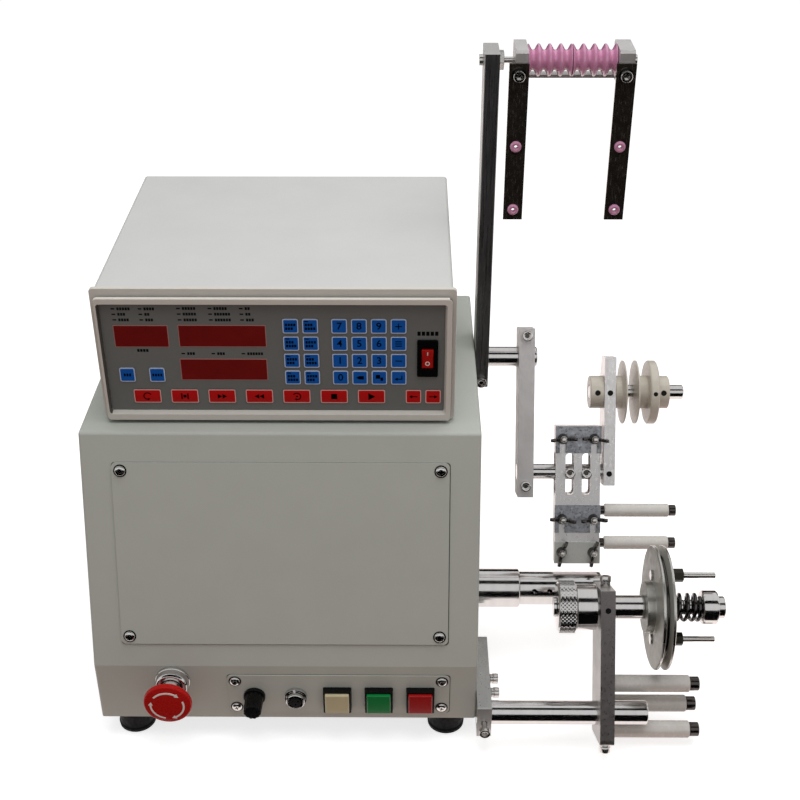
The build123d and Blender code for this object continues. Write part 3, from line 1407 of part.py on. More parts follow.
# Stand plate clamped on the lower rod; it carries the tension wheel and three turning sleeves.
stand_plane = leaning(stand_x, lower_rod_y, lower_rod_z, stand_lean)
stand_end_x = stand_x + stand_thickness
tension_place = stand_plane.from_local_coords((0, tension_u, 0))
tension_y = tension_place.Y
tension_z = tension_place.Z
top_seat = seat(stand_plane, 0, stand_above, stand_thickness / 2, (0, 1, 0))
bottom_seat = seat(stand_plane, bottom_screw_w, -stand_below, stand_thickness / 2, (0, -1, 0))
front_seat = seat(stand_plane, -stand_front, tension_u, stand_thickness / 2, (-1, 0, 0))
stand_pin_places = [stand_plane.from_local_coords((w, u, stand_thickness))
                    for w, u in stand_sleeves.values()]
with BuildPart() as stand_plate:
    with BuildSketch(stand_plane):
        with Locations(((stand_back - stand_front) / 2, (stand_above - stand_below) / 2)):
            RectangleRounded(stand_front + stand_back, stand_above + stand_below, 3.0)
        Circle(lower_rod_radius + running_fit, mode=Mode.SUBTRACT)
        with Locations((0, tension_u)):
            Circle(tension_shaft_radius, mode=Mode.SUBTRACT)
    extrude(amount=stand_thickness)
    with Locations(top_seat):
        Hole(cap_shank_radius + hole_gap, depth=stand_above - tension_u - tension_shaft_radius + 1)
    with Locations(bottom_seat):
        Hole(cap_shank_radius + hole_gap, depth=stand_below - lower_rod_radius + 2)
    with Locations(front_seat):
        Hole(set_screw_radius, depth=stand_front - tension_shaft_radius + 1)
    with BuildSketch(Plane.YZ.offset(stand_end_x)):
        for place in stand_pin_places:
            with Locations((place.Y, place.Z)):
                Circle(stand_pin_radius + hole_gap)
    extrude(amount=-stand_pin_root - 1, mode=Mode.SUBTRACT)

stand_pin = shoulder_pin(stand_pin_radius, 0, 0, stand_sleeve_length, stand_pin_head_radius,
                         stand_pin_head_length, stand_pin_root)
with BuildPart() as stand_fasteners:
    with Locations(top_seat):
        add(cap_screw(stand_above - tension_u - tension_shaft_radius - 0.5))
    with Locations(bottom_seat):
        add(cap_screw(stand_below - lower_rod_radius - 0.5))
    with Locations(Plane.YZ.offset(stand_end_x)):
        with Locations(*[(place.Y, place.Z) for place in stand_pin_places]):
            add(stand_pin)

stand_sleeve_parts = {}
for level, place in zip(stand_sleeves, stand_pin_places):
    stand_sleeve_parts[level] = turning_sleeve(stand_end_x + assembly_gap, place.Y, place.Z,
                                               stand_sleeve_length, stand_sleeve_radius,
                                               stand_pin_radius + running_fit)

# Tension shaft through the stand plate, threaded on its outer end, with the end nut.
wheel_end_x = wheel_x + wheel_hub_length + wheel_width
nut_start_x = spring_end_x + assembly_gap
end_nut_x = nut_start_x + adjuster_nut_length + assembly_gap
tension_axis = Axis((0, tension_y, tension_z), (1, 0, 0))
tension_plane = Plane(origin=(0, tension_y, tension_z), x_dir=(1, 0, 0), z_dir=(0, -1, 0))
with BuildPart() as tension_shaft:
    with BuildSketch(tension_plane):
        with Locations((knob_x - knob_cap_length, 0)):
            Rectangle(end_nut_x - knob_x + knob_cap_length, thread_radius, align=(Align.MIN, Align.MIN))
        with Locations((knob_x - knob_cap_length, 0)):
            Rectangle(knob_cap_length - assembly_gap, knob_cap_radius, align=(Align.MIN, Align.MIN))
        with Locations((stand_x - 2, 0)):
            Rectangle(wheel_x - assembly_gap - stand_x + 2, tension_shaft_radius,
                      align=(Align.MIN, Align.MIN))
        with Locations((end_nut_x, 0)):
            Rectangle(end_nut_length, end_nut_radius, align=(Align.MIN, Align.MIN))
    revolve(axis=tension_axis)
    chamfer(tension_shaft.edges().filter_by(GeomType.CIRCLE).sort_by(Axis.X)[-1], 0.6)

# Knurled knob with the smooth drum behind it.
with BuildPart() as tension_knob:
    with BuildSketch(Plane(origin=(knob_x, tension_y, tension_z), x_dir=(0, 1, 0), z_dir=(1, 0, 0))):
        Circle(knob_radius)
        with PolarLocations(knob_radius + 0.3, knob_flutes):
            Rectangle(1.3, 1.3, rotation=45, mode=Mode.SUBTRACT)
    extrude(amount=knob_length)
    with BuildSketch(Plane(origin=(knob_x, tension_y, tension_z), x_dir=(0, 1, 0), z_dir=(1, 0, 0))):
        Circle(drum_radius)
    extrude(amount=knob_length + drum_length)
    with BuildSketch(Plane(origin=(knob_x, tension_y, tension_z), x_dir=(0, 1, 0), z_dir=(1, 0, 0))):
        Circle(thread_radius + running_fit)
    extrude(amount=knob_length + drum_length, mode=Mode.SUBTRACT)

# Grooved tension wheel, drilled for its two studs.
rim_x = wheel_x + wheel_hub_length
groove_floor = wheel_radius - wheel_groove_depth
stud_places = [stand_plane.from_local_coords((0, tension_u + reach, 0))
               for reach in (stud_circle, -stud_circle)]
with BuildPart() as tension_wheel:
    with BuildSketch(tension_plane):
        with BuildLine():
            Polyline((wheel_x, thread_radius + running_fit), (wheel_x, wheel_hub_radius),
                     (rim_x, wheel_hub_radius), (rim_x, wheel_radius - 0.8), (rim_x + 0.8, wheel_radius),
                     (rim_x + wheel_lip, wheel_radius), (rim_x + wheel_width * 0.42, groove_floor),
                     (rim_x + wheel_width * 0.58, groove_floor),
                     (wheel_end_x - wheel_lip, wheel_radius), (wheel_end_x - 0.8, wheel_radius),
                     (wheel_end_x, wheel_radius - 0.8), (wheel_end_x, thread_radius + running_fit),
                     close=True)
        make_face()
    revolve(axis=tension_axis)
    with BuildSketch(Plane.YZ.offset(rim_x)):
        for place in stud_places:
            with Locations((place.Y, place.Z)):
                Circle(stud_radius + hole_gap)
    extrude(amount=wheel_width, mode=Mode.SUBTRACT)

with BuildPart() as wheel_studs:
    with BuildSketch(Plane.YZ.offset(rim_x)):
        for place in stud_places:
            with Locations((place.Y, place.Z)):
                Circle(rivet_radius)
    extrude(amount=-rivet_height)
    with BuildSketch(Plane.YZ.offset(rim_x)):
        for place in stud_places:
            with Locations((place.Y, place.Z)):
                Circle(stud_radius)
    extrude(amount=stud_end_x - rim_x)
    with BuildSketch(Plane.YZ.offset(wheel_end_x)):
        for place in stud_places:
            with Locations((place.Y, place.Z)):
                RegularPolygon(standoff_flats / 2, 6, major_radius=False)
    extrude(amount=standoff_length)

# Pressure spring between the wheel and the round adjusting nut.
spring_start_x = wheel_end_x + assembly_gap + spring_wire
coil_end_x = spring_end_x - spring_wire
with BuildPart() as tension_spring:
    with BuildLine() as coil:
        Helix(pitch=(coil_end_x - spring_start_x) / spring_turns, height=coil_end_x - spring_start_x,
              radius=spring_radius, center=(spring_start_x, tension_y, tension_z), direction=(1, 0, 0))
    with BuildSketch(Plane(origin=coil.line @ 0, z_dir=coil.line % 0)):
        Circle(spring_wire)
    sweep(path=coil.line, is_frenet=True)

with BuildPart() as adjusting_nut:
    with BuildSketch(Plane(origin=(nut_start_x, tension_y, tension_z), x_dir=(0, 1, 0),
                           z_dir=(1, 0, 0))):
        Circle(adjuster_nut_radius)
        Circle(thread_radius + running_fit, mode=Mode.SUBTRACT)
    extrude(amount=adjuster_nut_length)
    chamfer(adjusting_nut.edges().filter_by(GeomType.CIRCLE).group_by(SortBy.RADIUS)[-1], 1.2)

# Mains inlet on the back wall.
with BuildPart() as mains_inlet:
    with BuildSketch(Plane.XZ.offset(-cabinet_depth)):
        with Locations((inlet_x, inlet_z)):
            RectangleRounded(inlet_flange_width, inlet_flange_height, 3)
    extrude(amount=-2.2)
    with BuildSketch(Plane.XZ.offset(-cabinet_depth)):
        with Locations((inlet_x, inlet_z)):
            Rectangle(inlet_width, inlet_height)
    extrude(amount=20)
    with BuildSketch(Plane.XZ.offset(-cabinet_depth - 2.2)):
        with Locations((inlet_x, inlet_z)):
            RectangleRounded(inlet_width - 3, inlet_height - 3, 2)
    extrude(amount=16, mode=Mode.SUBTRACT)
    with BuildSketch(Plane.XZ.offset(-cabinet_depth + 14.0)):
        with Locations((inlet_x, inlet_z + 3)):
            Rectangle(2, 4)
        with Locations((inlet_x - 7, inlet_z - 2), (inlet_x + 7, inlet_z - 2)):
            Rectangle(2, 4)
    extrude(amount=-14)

# ================================================================ written pieces
pieces = {
    "body_shell": body_shell, "chassis": chassis, "front_plates": front_plates,
    "cabinet_screws": cabinet_screws, "rubber_feet": rubber_feet, "fuse_holder": fuse_holder,
    "round_socket": round_socket, "stop_collar": stop_collar, "stop_button": stop_button,
    "switch_bezels": switch_bezels, "reset_key": key_caps["reset"], "start_key": key_caps["start"],
    "halt_key": key_caps["halt"], "power_rocker": power_rocker, "box_case": box_case,
    "box_bezel": box_bezel, "box_panel": box_panel, "display_windows": display_windows,
    "electronics": electronics, "mains_inlet": mains_inlet, "spindle_housing": spindle_housing,
    "bearings": bearings, "spindle_shaft": spindle_shaft, "motors": motors,
    "motor_pulley": motor_pulley, "drive_belt": drive_belt, "lead_screw": lead_screw,
    "traverse_shaft": traverse_shaft, "tower_bar": tower_bar, "link_plate": link_plate,
    "guide_rod": guide_rod, "guide_block": guide_block, "adjuster_plates": adjuster_plates,
    "traverse_fasteners": traverse_fasteners, "upper_guide_sleeve": upper_guide_sleeve,
    "lower_guide_sleeve": lower_guide_sleeve, "pulley_arm": pulley_arm,
    "pulley_shaft": pulley_shaft, "shaft_collars": shaft_collars,
    "left_wire_disc": left_wire_disc, "right_wire_disc": right_wire_disc,
    "swing_axle": swing_axle, "swing_frame": swing_frame, "left_roller": rollers["left"],
    "right_roller": rollers["right"], "swing_legs": swing_legs, "eyelets": eyelets,
    "lower_bracket": lower_bracket, "lower_rod": lower_rod, "stand_plate": stand_plate,
    "stand_fasteners": stand_fasteners, "upper_stand_sleeve": stand_sleeve_parts["upper"],
    "middle_stand_sleeve": stand_sleeve_parts["middle"],
    "lower_stand_sleeve": stand_sleeve_parts["lower"], "tension_shaft": tension_shaft,
    "tension_knob": tension_knob, "tension_wheel": tension_wheel, "wheel_studs": wheel_studs,
    "tension_spring": tension_spring, "adjusting_nut": adjusting_nut,
}
# The kept frame has its origin in the mouth of the spindle's mandrel bore.
spindle_nose = Location((-spindle_end_x, -spindle_y, -spindle_z))
os.makedirs("parts", exist_ok=True)
for name, piece in pieces.items():
    piece.part.locate(spindle_nose * piece.part.location)
    piece.part.label = name
    export_step(piece.part, f"parts/{name}.step")
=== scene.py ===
import json
from math import cos, pi, radians, sin

import bmesh
import bpy
from mathutils import Matrix, Vector
from mathutils.bvhtree import BVHTree

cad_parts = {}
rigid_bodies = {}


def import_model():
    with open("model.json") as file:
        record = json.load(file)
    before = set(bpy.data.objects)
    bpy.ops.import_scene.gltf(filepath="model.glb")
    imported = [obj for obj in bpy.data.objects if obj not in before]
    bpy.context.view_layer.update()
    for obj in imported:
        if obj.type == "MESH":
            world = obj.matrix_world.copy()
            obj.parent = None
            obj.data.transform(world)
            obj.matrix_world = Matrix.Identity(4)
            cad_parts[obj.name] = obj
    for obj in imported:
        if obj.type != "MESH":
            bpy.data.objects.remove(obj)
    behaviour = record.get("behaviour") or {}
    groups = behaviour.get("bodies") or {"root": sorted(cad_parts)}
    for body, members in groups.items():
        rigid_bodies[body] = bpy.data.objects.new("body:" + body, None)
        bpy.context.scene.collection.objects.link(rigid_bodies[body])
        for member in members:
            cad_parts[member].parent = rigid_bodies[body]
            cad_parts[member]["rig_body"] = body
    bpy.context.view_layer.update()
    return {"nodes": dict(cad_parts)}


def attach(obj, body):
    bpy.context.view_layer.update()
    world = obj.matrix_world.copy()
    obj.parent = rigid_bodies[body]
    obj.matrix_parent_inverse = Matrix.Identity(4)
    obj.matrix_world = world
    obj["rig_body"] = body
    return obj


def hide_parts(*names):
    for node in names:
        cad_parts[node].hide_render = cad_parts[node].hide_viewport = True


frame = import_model()

bl_info = {
    "name": "Wire Coil Winding Machine",
    "version": (1, 0, 0),
    "blender": (4, 5, 0),
    "location": "View3D > Sidebar > Winder",
    "description": "Dresses the packed model of a bench coil winder with its finishes and details",
    "category": "Object",
}

# ---------------------------------------------------------------- places
# Sizes below are millimetres from the bench under the middle of the cabinet's lower front edge,
# X to the right, Y to the back, Z up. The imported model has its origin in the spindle's nose.
MM = 0.001
SPINDLE_NOSE = Vector((276.0, 110.0, 76.0))
X_AXIS = Vector((1, 0, 0))
TO_FRONT = Vector((0, -1, 0))
SHARP = radians(32)                 # edges over this angle stay sharp
RELIEF_SHARP = radians(20)          # the same on knurls, threads, keys and marks
ROUNDED_OVER = radians(35)          # and edges over this one are rounded
FLAT_UNDER = radians(0.6)           # faces under this angle are one
WELD = 0.002                        # gap that joins points

FRONT_LEAN = radians(16)            # of the cabinet's upper front
FRONT_KINK = (0, 82.2)              # its lower edge, as (y, z)
PLATE_STANDS = 1.2                  # how far the front plates stand in front of it
STRIP_FACE_Y = -PLATE_STANDS
PANEL_FACE_Y = 73.9
BOX_UNDERSIDE = 277.4
# Parts of the step round the panel that take painted shade:
BEZEL_FLOOR_Y = (73, 75)            # bottom of the step round the panel
BEZEL_WALL_Y = (70, 74)
FOOT_HEIGHT = 24
FOOT_PLACES = [(x, y) for x in (-135, 135) for y in (20, 278.3)]
PAD_PLACES = [(-1.2 + side * 107.3, y) for side in (-1, 1) for y in (97.0, 287.2)]
# Cross screws as (x, height up the face or z, turn of the recess).
FRONT_SCREWS = [(-128, 171.6, 0.3), (128, 171.6, -0.2), (-128, 27.6, 0.5), (128, 27.6, 0.1)]
STRIP_SCREWS = [(-43.1, 37.5, 0.4), (-43.1, 66.5, 0.1), (130.5, 37.5, -0.3), (130.5, 66.5, 0.6)]
BRACKET_SIDE_SCREWS = [(17, 37), (34, 37)]      # as (y, z)
BRACKET_FRONT_SCREW = (166, -27, 37)
BRACKET_X = 175.5
SOCKET_PLACE = (7.5, 50.0)          # as (x, z)
SOCKET_INSERT = 5.3                 # radius of its dark middle
FRONT_SEAM = (0.3, 99.3, 270.8, 158.8)          # (x, height up the face, width, height)
STRIP_SEAM = (43.9, 51.8, 187.4, 42.8)          # (x, z, width, height)
ROCKER_PLACE = (116.75, 335.7)
STOP_PLACE = (-95, 0, 67.5)
STOP_HEAD_BACK = -17

# Axes along X, as (y, z), and how far the plates on them lean back.
ROD_AXIS = (-6.0, 37.0)             # lower rod
GUIDE_AXIS = (162.23, 167.73)
PULLEY_AXIS = (195.05, 232.15)
TENSION_AXIS = (37.63, 115.72)
STAND_PINS = [(16.5, 49.1), (18.7, 23.9), (-3.0, 15.0)]
TRAVERSE_AXIS = (207.0, 261.6)
SPINDLE_AXIS = (110.0, 76.0)
SWING_AXIS = (207.0, 530.0)
STAND_LEAN = radians(29)
GUIDE_LEAN = radians(26.5)
ARM_LEAN = radians(27)
LINK_LEAN = radians(25.5)

TOWER_SCREW = (166.5, 191, 245.8)
LINK_SCREW_X = 206.5
LINK_SCREW_ROWS = (19.5, -114.5)
GUIDE_SLOT_X = (246.6, 261.4)
WING_NUT_X = (240, 268)
WING_NUT_ROWS = [(31, (0.06, -0.1)), (-41.6, (-0.12, 0.05)), (-71.7, (1.3, 1.35))]  # (up, turns)
WING_HUB = 3.1                      # radius of a wing nut's bright middle
GUIDE_PINS = {"upper": -35, "lower": -64.7}     # heights up the guide's plates
PALE_PLATE_TOP = -56
ARM_X = 280
ARM_SCREW_X = 281
ARM_SCREW_ROWS = (0, 72.3)
COLLAR_X = (270, 328.5)
DISC_SCREW_X = 318.85
STAND_X = 268
PIN_X = 274                         # where the pins leave their plates
PIN_END_X = 262
PIN_HEAD_X = 342.2
LEG_X = (187.2, 270.3)
LEG_FRONT_Y = 187
LEG_SCREW_Z = 524
LEG_SCREW_BACK_Y = 186.7
LEG_SHOULDER_Z = 533
EYELET_Z = (466, 412)
ROLLERS = {"left": 194.7, "right": 229.85}      # where they start, in x
ROLLER_LENGTH = 34.85
GROOVES = 4
WHEEL_WEB_X = 307.2                 # back of the wheel's web, where the coat is worn
WHEEL_HUB = 20
WHEEL_RIM = 51
WHEEL_RING = (34, 50.9)             # radii of its bright turned ring
WHEEL_RING_X = 307.4
STANDOFF_X = (318.2, 333.3)
KNURL_X, DRUM_X, SPRING_X, THREAD_X = 228.4, 227.05, 319.85, 318.6

# Panel layout, as middles (x, z). Lamps have the number of letters beside them.
KEYPAD_X = [48.65, 63.85, 79.05, 94.25]
COMMAND_X = [11.15, 26.35]
KEY_Z = [363.7, 348.5, 333.3, 318.1]
SIDE_KEYS = [(-118.85, 320.2), (-95.35, 320.2)]
RED_KEYS = [(-104.9 + 29.6 * step, 300.8) for step in range(7)]
JOG_KEYS = [(105.9, 300.8), (121.4, 300.8)]
WINDOWS = [("step_window", (-104.5, 354.5), 41.0), ("count_window", (-41.75, 354.8), 66.5),
           ("speed_window", (-42.5, 325.0), 67.0)]
LAMPS = [(-125.3, 378.2, 5), (-125.1, 373.5, 3), (-124.9, 368.7, 4), (-104.6, 378.2, 4),
         (-104.4, 373.5, 2), (-104.2, 368.7, 3), (-75.2, 378.6, 5), (-75.0, 373.8, 5),
         (-74.8, 368.8, 5), (-51.2, 378.6, 5), (-51.0, 373.8, 6), (-50.8, 368.8, 6),
         (-27.3, 378.6, 2), (-27.1, 373.8, 2), (-26.9, 368.8, 3), (-74.6, 339.2, 3),
         (-51.2, 339.2, 3), (-27.8, 339.2, 6)]


def at(x, y, z):
    """A place of the machine in the frame's metres."""
    return (Vector((x, y, z)) - SPINDLE_NOSE) * MM


def leaning(axis, lean, across, along):
    """(y, z) of a point on a plate that leans back round an axis: across it and up along it."""
    y, z = axis
    return (y + across * cos(lean) + along * sin(lean), z - across * sin(lean) + along * cos(lean))


def on_plate(x, axis, lean, across, along):
    """Place in the frame of such a point at x."""
    return at(x, *leaning(axis, lean, across, along))


def face_of(lean):
    """Outward direction of a leaning plate's front."""
    return Vector((0, -cos(lean), sin(lean)))


def up_along(lean):
    return Vector((0, sin(lean), cos(lean)))


def reach_from(axis, middle):
    """Distance in mm of a point from an axis along X."""
    return (Vector((middle.y, middle.z)) - Vector(axis)).length


def aslant(turn):
    """Direction in the XZ plane that turns a part on its seat."""
    return (cos(turn), 0, sin(turn))


def pointing(place, outward, sideways=X_AXIS):
    """Matrix that puts a small part's local Z along outward, with its local X near sideways."""
    up = Vector(outward).normalized()
    side = (Vector(sideways) - up * Vector(sideways).dot(up)).normalized()
    return Matrix.Translation(place) @ Matrix((side, up.cross(side), up)).transposed().to_4x4()


def along_x(x, axis):
    """Matrix that stands a part's local Z along the machine's X, starting at x on an axis."""
    return pointing(at(x, *axis), X_AXIS, (0, 0, 1))


def srgb(red, green, blue):
    """Linear colour of a display colour given in steps of 255."""
    steps = [value / 255 for value in (red, green, blue)]
    return tuple(v / 12.92 if v <= 0.04045 else ((v + 0.055) / 1.055) ** 2.4 for v in steps)


# ---------------------------------------------------------------- node trees and materials
class NodeWork:
    """Node tree that is filled node by node."""

    def __init__(self, tree):
        self.tree = tree

    def link(self, source, target):
        self.tree.links.new(source, target)
        return self

    def add(self, kind, feeds=None, **settings):
        """Outputs of a new node. Feeds are its inputs by name or number: sockets or values."""
        node = self.tree.nodes.new(kind)
        for key, value in settings.items():
            setattr(node, key, value)
        for label, feed in (feeds or {}).items():
            if isinstance(feed, bpy.types.NodeSocket):
                self.link(feed, node.inputs[label])
            else:
                node.inputs[label].default_value = feed
        return [socket for socket in node.outputs if socket.enabled]


class Finish(NodeWork):
    """Principled material whose patterns read Object coordinates. Pattern sizes are in mm."""

    def __init__(self, name, colour, roughness, metallic=0.0, **values):
        self.material = bpy.data.materials.new(name)
        self.material.use_nodes = True
        super().__init__(self.material.node_tree)
        self.shader = self.tree.nodes["Principled BSDF"]
        self.place = self.tree.nodes.new("ShaderNodeTexCoord").outputs["Object"]
        self.colour = colour
        values.update(base_color=(*colour, 1), roughness=roughness, metallic=metallic)
        for key, value in values.items():
            socket = self.shader.inputs[key.replace("_", " ").title().replace("Ior", "IOR")]
            socket.default_value = value

    def noise(self, size, detail, stretch=(1, 1, 1), place=None):
        """Noise with features of about size mm, drawn out by stretch along each axis."""
        scale = [1 / (size * MM * reach) for reach in stretch]
        scaled = self.add("ShaderNodeMapping", {"Vector": place or self.place, "Scale": scale})[0]
        return self.add("ShaderNodeTexNoise", {"Vector": scaled, "Scale": 1.0, "Detail": detail})[0]

    def cells(self, size):
        """Distance, colour and place of the nearest of many scattered points."""
        return self.add("ShaderNodeTexVoronoi", {"Vector": self.place, "Scale": 1 / (size * MM)},
                        feature="F1")

    def spread(self, value, low, high, to_low=0.0, to_high=1.0):
        """The value's range from low to high, drawn out to another range."""
        return self.add("ShaderNodeMapRange", {"Value": value, "From Min": low, "From Max": high,
                                               "To Min": to_low, "To Max": to_high}, clamp=True)[0]

    def mix(self, share, low, high):
        """Number between low and high by a share. Each is a number or a socket."""
        return self.add("ShaderNodeMix", {0: share, 2: low, 3: high}, data_type="FLOAT")[0]

    def blend(self, share, low, high):
        """Colour between two by a share."""
        return self.add("ShaderNodeMix", {0: share, 6: low, 7: high}, data_type="RGBA")[0]

    def rings(self, axis):
        """Coordinates for turned work on an axis along X: along it, away from it, and nothing."""
        centre = at(0, *axis)
        around = self.add("ShaderNodeVectorMath", {0: self.place, 1: (0, centre.y, centre.z)},
                          operation="SUBTRACT")[0]
        flat = self.add("ShaderNodeVectorMath", {0: around, 1: (0, 1, 1)}, operation="MULTIPLY")[0]
        reach = self.add("ShaderNodeVectorMath", {0: flat}, operation="LENGTH")[0]
        along = self.add("ShaderNodeSeparateXYZ", {0: self.place})[0]
        return self.add("ShaderNodeCombineXYZ", {0: along, 1: reach})[0]

    def tint(self, value, shade, light):
        """Colour between two strengths of the base colour, by a pattern."""
        ends = [(*(min(1.0, c * strength) for c in self.colour), 1) for strength in (shade, light)]
        return self.link(self.blend(value, *ends), self.shader.inputs["Base Color"])

    def overlay(self, value, colour):
        """A second colour over the first where the pattern is 1."""
        old = self.shader.inputs["Base Color"]
        return self.link(self.blend(value, old.links[0].from_socket, (*colour, 1)), old)

    def polish(self, value, low, high):
        """Roughness between low and high, by a pattern."""
        return self.link(self.spread(value, 0.3, 0.7, low, high), self.shader.inputs["Roughness"])

    def bump(self, value, height, strength):
        """Relief of the pattern, its full height in mm, over any relief given before."""
        old = self.shader.inputs["Normal"]
        feeds = {"Height": value, "Distance": height * MM, "Strength": strength}
        if old.is_linked:
            feeds["Normal"] = old.links[0].from_socket
        return self.link(self.add("ShaderNodeBump", feeds)[0], old)


def coated(name, colour, roughness, stains, relief, shine=None, metallic=0.0, **values):
    """Finish with a noise each for its stains, its relief and its shine. They are (feature size in
    mm, detail, low, high), and the relief's last two are its height in mm and its strength."""
    coat = Finish(name, colour, roughness, metallic, **values)
    coat.tint(coat.noise(*stains[:2]), *stains[2:])
    if shine:
        coat.polish(coat.noise(*shine[:2]), *shine[2:])
    return coat.bump(coat.noise(*relief[:2]), *relief[2:])


def powder_coat(name, colour):
    """Fine textured powder coat on sheet metal."""
    return coated(name, colour, 0.46, (34, 4, 0.95, 1.03), (1.3, 3, 0.045, 0.5),
                  (2.2, 2, 0.4, 0.54))


def moulded(name, colour, roughness, grain=0.5, relief=0.015):
    """Moulded plastic with a fine even texture."""
    return coated(name, colour, roughness, (12, 3, 0.95, 1.04), (grain, 1, relief, 0.5),
                  (1.6, 2, roughness - 0.05, roughness + 0.06), specular_ior_level=0.2)


def lit_key(name, colour, glow):
    """Translucent key cap, faintly lit from behind."""
    return coated(name, colour, 0.26, (9, 2, 0.92, 1.06), (0.8, 2, 0.01, 0.4),
                  subsurface_weight=0.1, subsurface_scale=0.002, specular_ior_level=0.3,
                  coat_weight=0.08, coat_roughness=0.12,
                  emission_color=(*colour, 1), emission_strength=glow)


def smoked_window(name, colour):
    """Clear dark red acrylic over digits that are off."""
    return coated(name, colour, 0.3, (14, 3, 0.84, 1.18), (22, 2, 0.03, 0.3),
                  specular_ior_level=0.3, coat_weight=0.12, coat_roughness=0.08)


def glazed(name, colour):
    """Glazed ceramic, slightly uneven."""
    return coated(name, colour, 0.16, (5, 3, 0.9, 1.1), (2.0, 2, 0.012, 0.4), coat_weight=0.6,
                  coat_roughness=0.06, subsurface_weight=0.06, subsurface_scale=0.001)


def smooth_coat(name, colour, roughness=0.32):
    """Smooth sprayed enamel with slight dirt."""
    return coated(name, colour, roughness, (8, 5, 0.9, 1.05), (1.8, 3, 0.02, 0.4),
                  (3, 2, roughness * 0.8, roughness * 1.3), coat_weight=0.15, coat_roughness=0.2)


def hard_coat(name, colour):
    """Speckled hard coat."""
    coat = coated(name, colour, 0.4, (0.7, 2, 0.82, 1.12), (0.8, 2, 0.02, 0.5),
                  (5, 3, 0.34, 0.5), 0.35)
    specks = coat.spread(coat.cells(3.1)[0], 0.12, 0.12 * 0.6)
    return coat.overlay(specks, [c * 0.6 for c in colour])


def rubber(name, colour):
    """Matt moulded rubber with a dusty bloom."""
    return coated(name, colour, 0.62, (7, 4, 0.8, 1.5), (0.6, 2, 0.03, 0.5), (3, 2, 0.5, 0.72),
                  specular_ior_level=0.12)


def printed_ink(name, colour):
    """Screen-printed ink, slightly uneven."""
    return coated(name, colour, 0.5, (0.8, 2, 0.85, 1.12), (0.4, 2, 0.008, 0.4),
                  specular_ior_level=0.1)


def turned(name, colour, roughness, axis):
    """Turned or ground round work: fine rings round its axis, and a few handling marks."""
    steel = Finish(name, colour, roughness, 1.0)
    rings = steel.rings(axis)
    steel.tint(steel.noise(4.0, 3, place=rings), 0.9, 1.06)
    steel.polish(steel.noise(16, 4), roughness * 0.75, roughness * 1.5)
    return steel.bump(steel.noise(0.35, 2, place=rings), 0.006, 0.5)


def drawn(name, colour, roughness, stretch, relief, stain, metallic=1.0):
    """Drawn, ground or plated steel: stains, and scratches whose length is stretched along Z."""
    bar = Finish(name, colour, roughness, metallic)
    bar.tint(bar.noise(26, 5), 1 - stain, 1 + stain)
    bar.polish(bar.noise(1.4, 3, (1, 1, stretch)), roughness * 0.7, roughness * 1.4)
    bar.bump(bar.noise(0.7, 2, (1, 1, stretch)), relief, 0.6)
    return bar.bump(bar.noise(9, 2), 0.03, 0.25)


def galvanised(name, colour):
    """Zinc plate with its mottled spangle."""
    zinc = Finish(name, colour, 0.4, 0.7)
    crystal = zinc.add("ShaderNodeSeparateColor", {0: zinc.cells(2.1)[1]})
    bloom = zinc.spread(zinc.noise(1.6, 5), 0.35, 0.65)
    zinc.tint(zinc.mix(bloom, crystal[0], 0.7), 0.3, 1.45)
    zinc.polish(crystal[1], 0.34, 0.5)
    return zinc.bump(zinc.noise(1.1, 3), 0.03, 0.5)


def black_chrome(name, colour):
    """Smoky plated strip with drag marks and bright rubbed places."""
    plate = Finish(name, colour, 0.26, 0.82)
    plate.tint(plate.noise(6, 5, (1, 1, 1.6)), 0.55, 1.5)
    rubbed = plate.spread(plate.noise(2.2, 5, (0.5, 1, 3.0)), 0.56, 0.7, 0, 0.7)
    plate.overlay(rubbed, srgb(176, 168, 160))
    plate.polish(plate.noise(4, 3), 0.12, 0.34)
    return plate.bump(plate.noise(2.4, 4), 0.05, 0.4)


def board(name, colour):
    """Lacquered circuit board with its tracks."""
    lacquer = Finish(name, colour, 0.3)
    tracks = lacquer.noise(2.4, 1, (3, 1, 0.4))
    lacquer.tint(lacquer.spread(tracks, 0.48, 0.52), 0.7, 1.4)
    return lacquer.bump(tracks, 0.05, 0.4)


FINISHES = {}


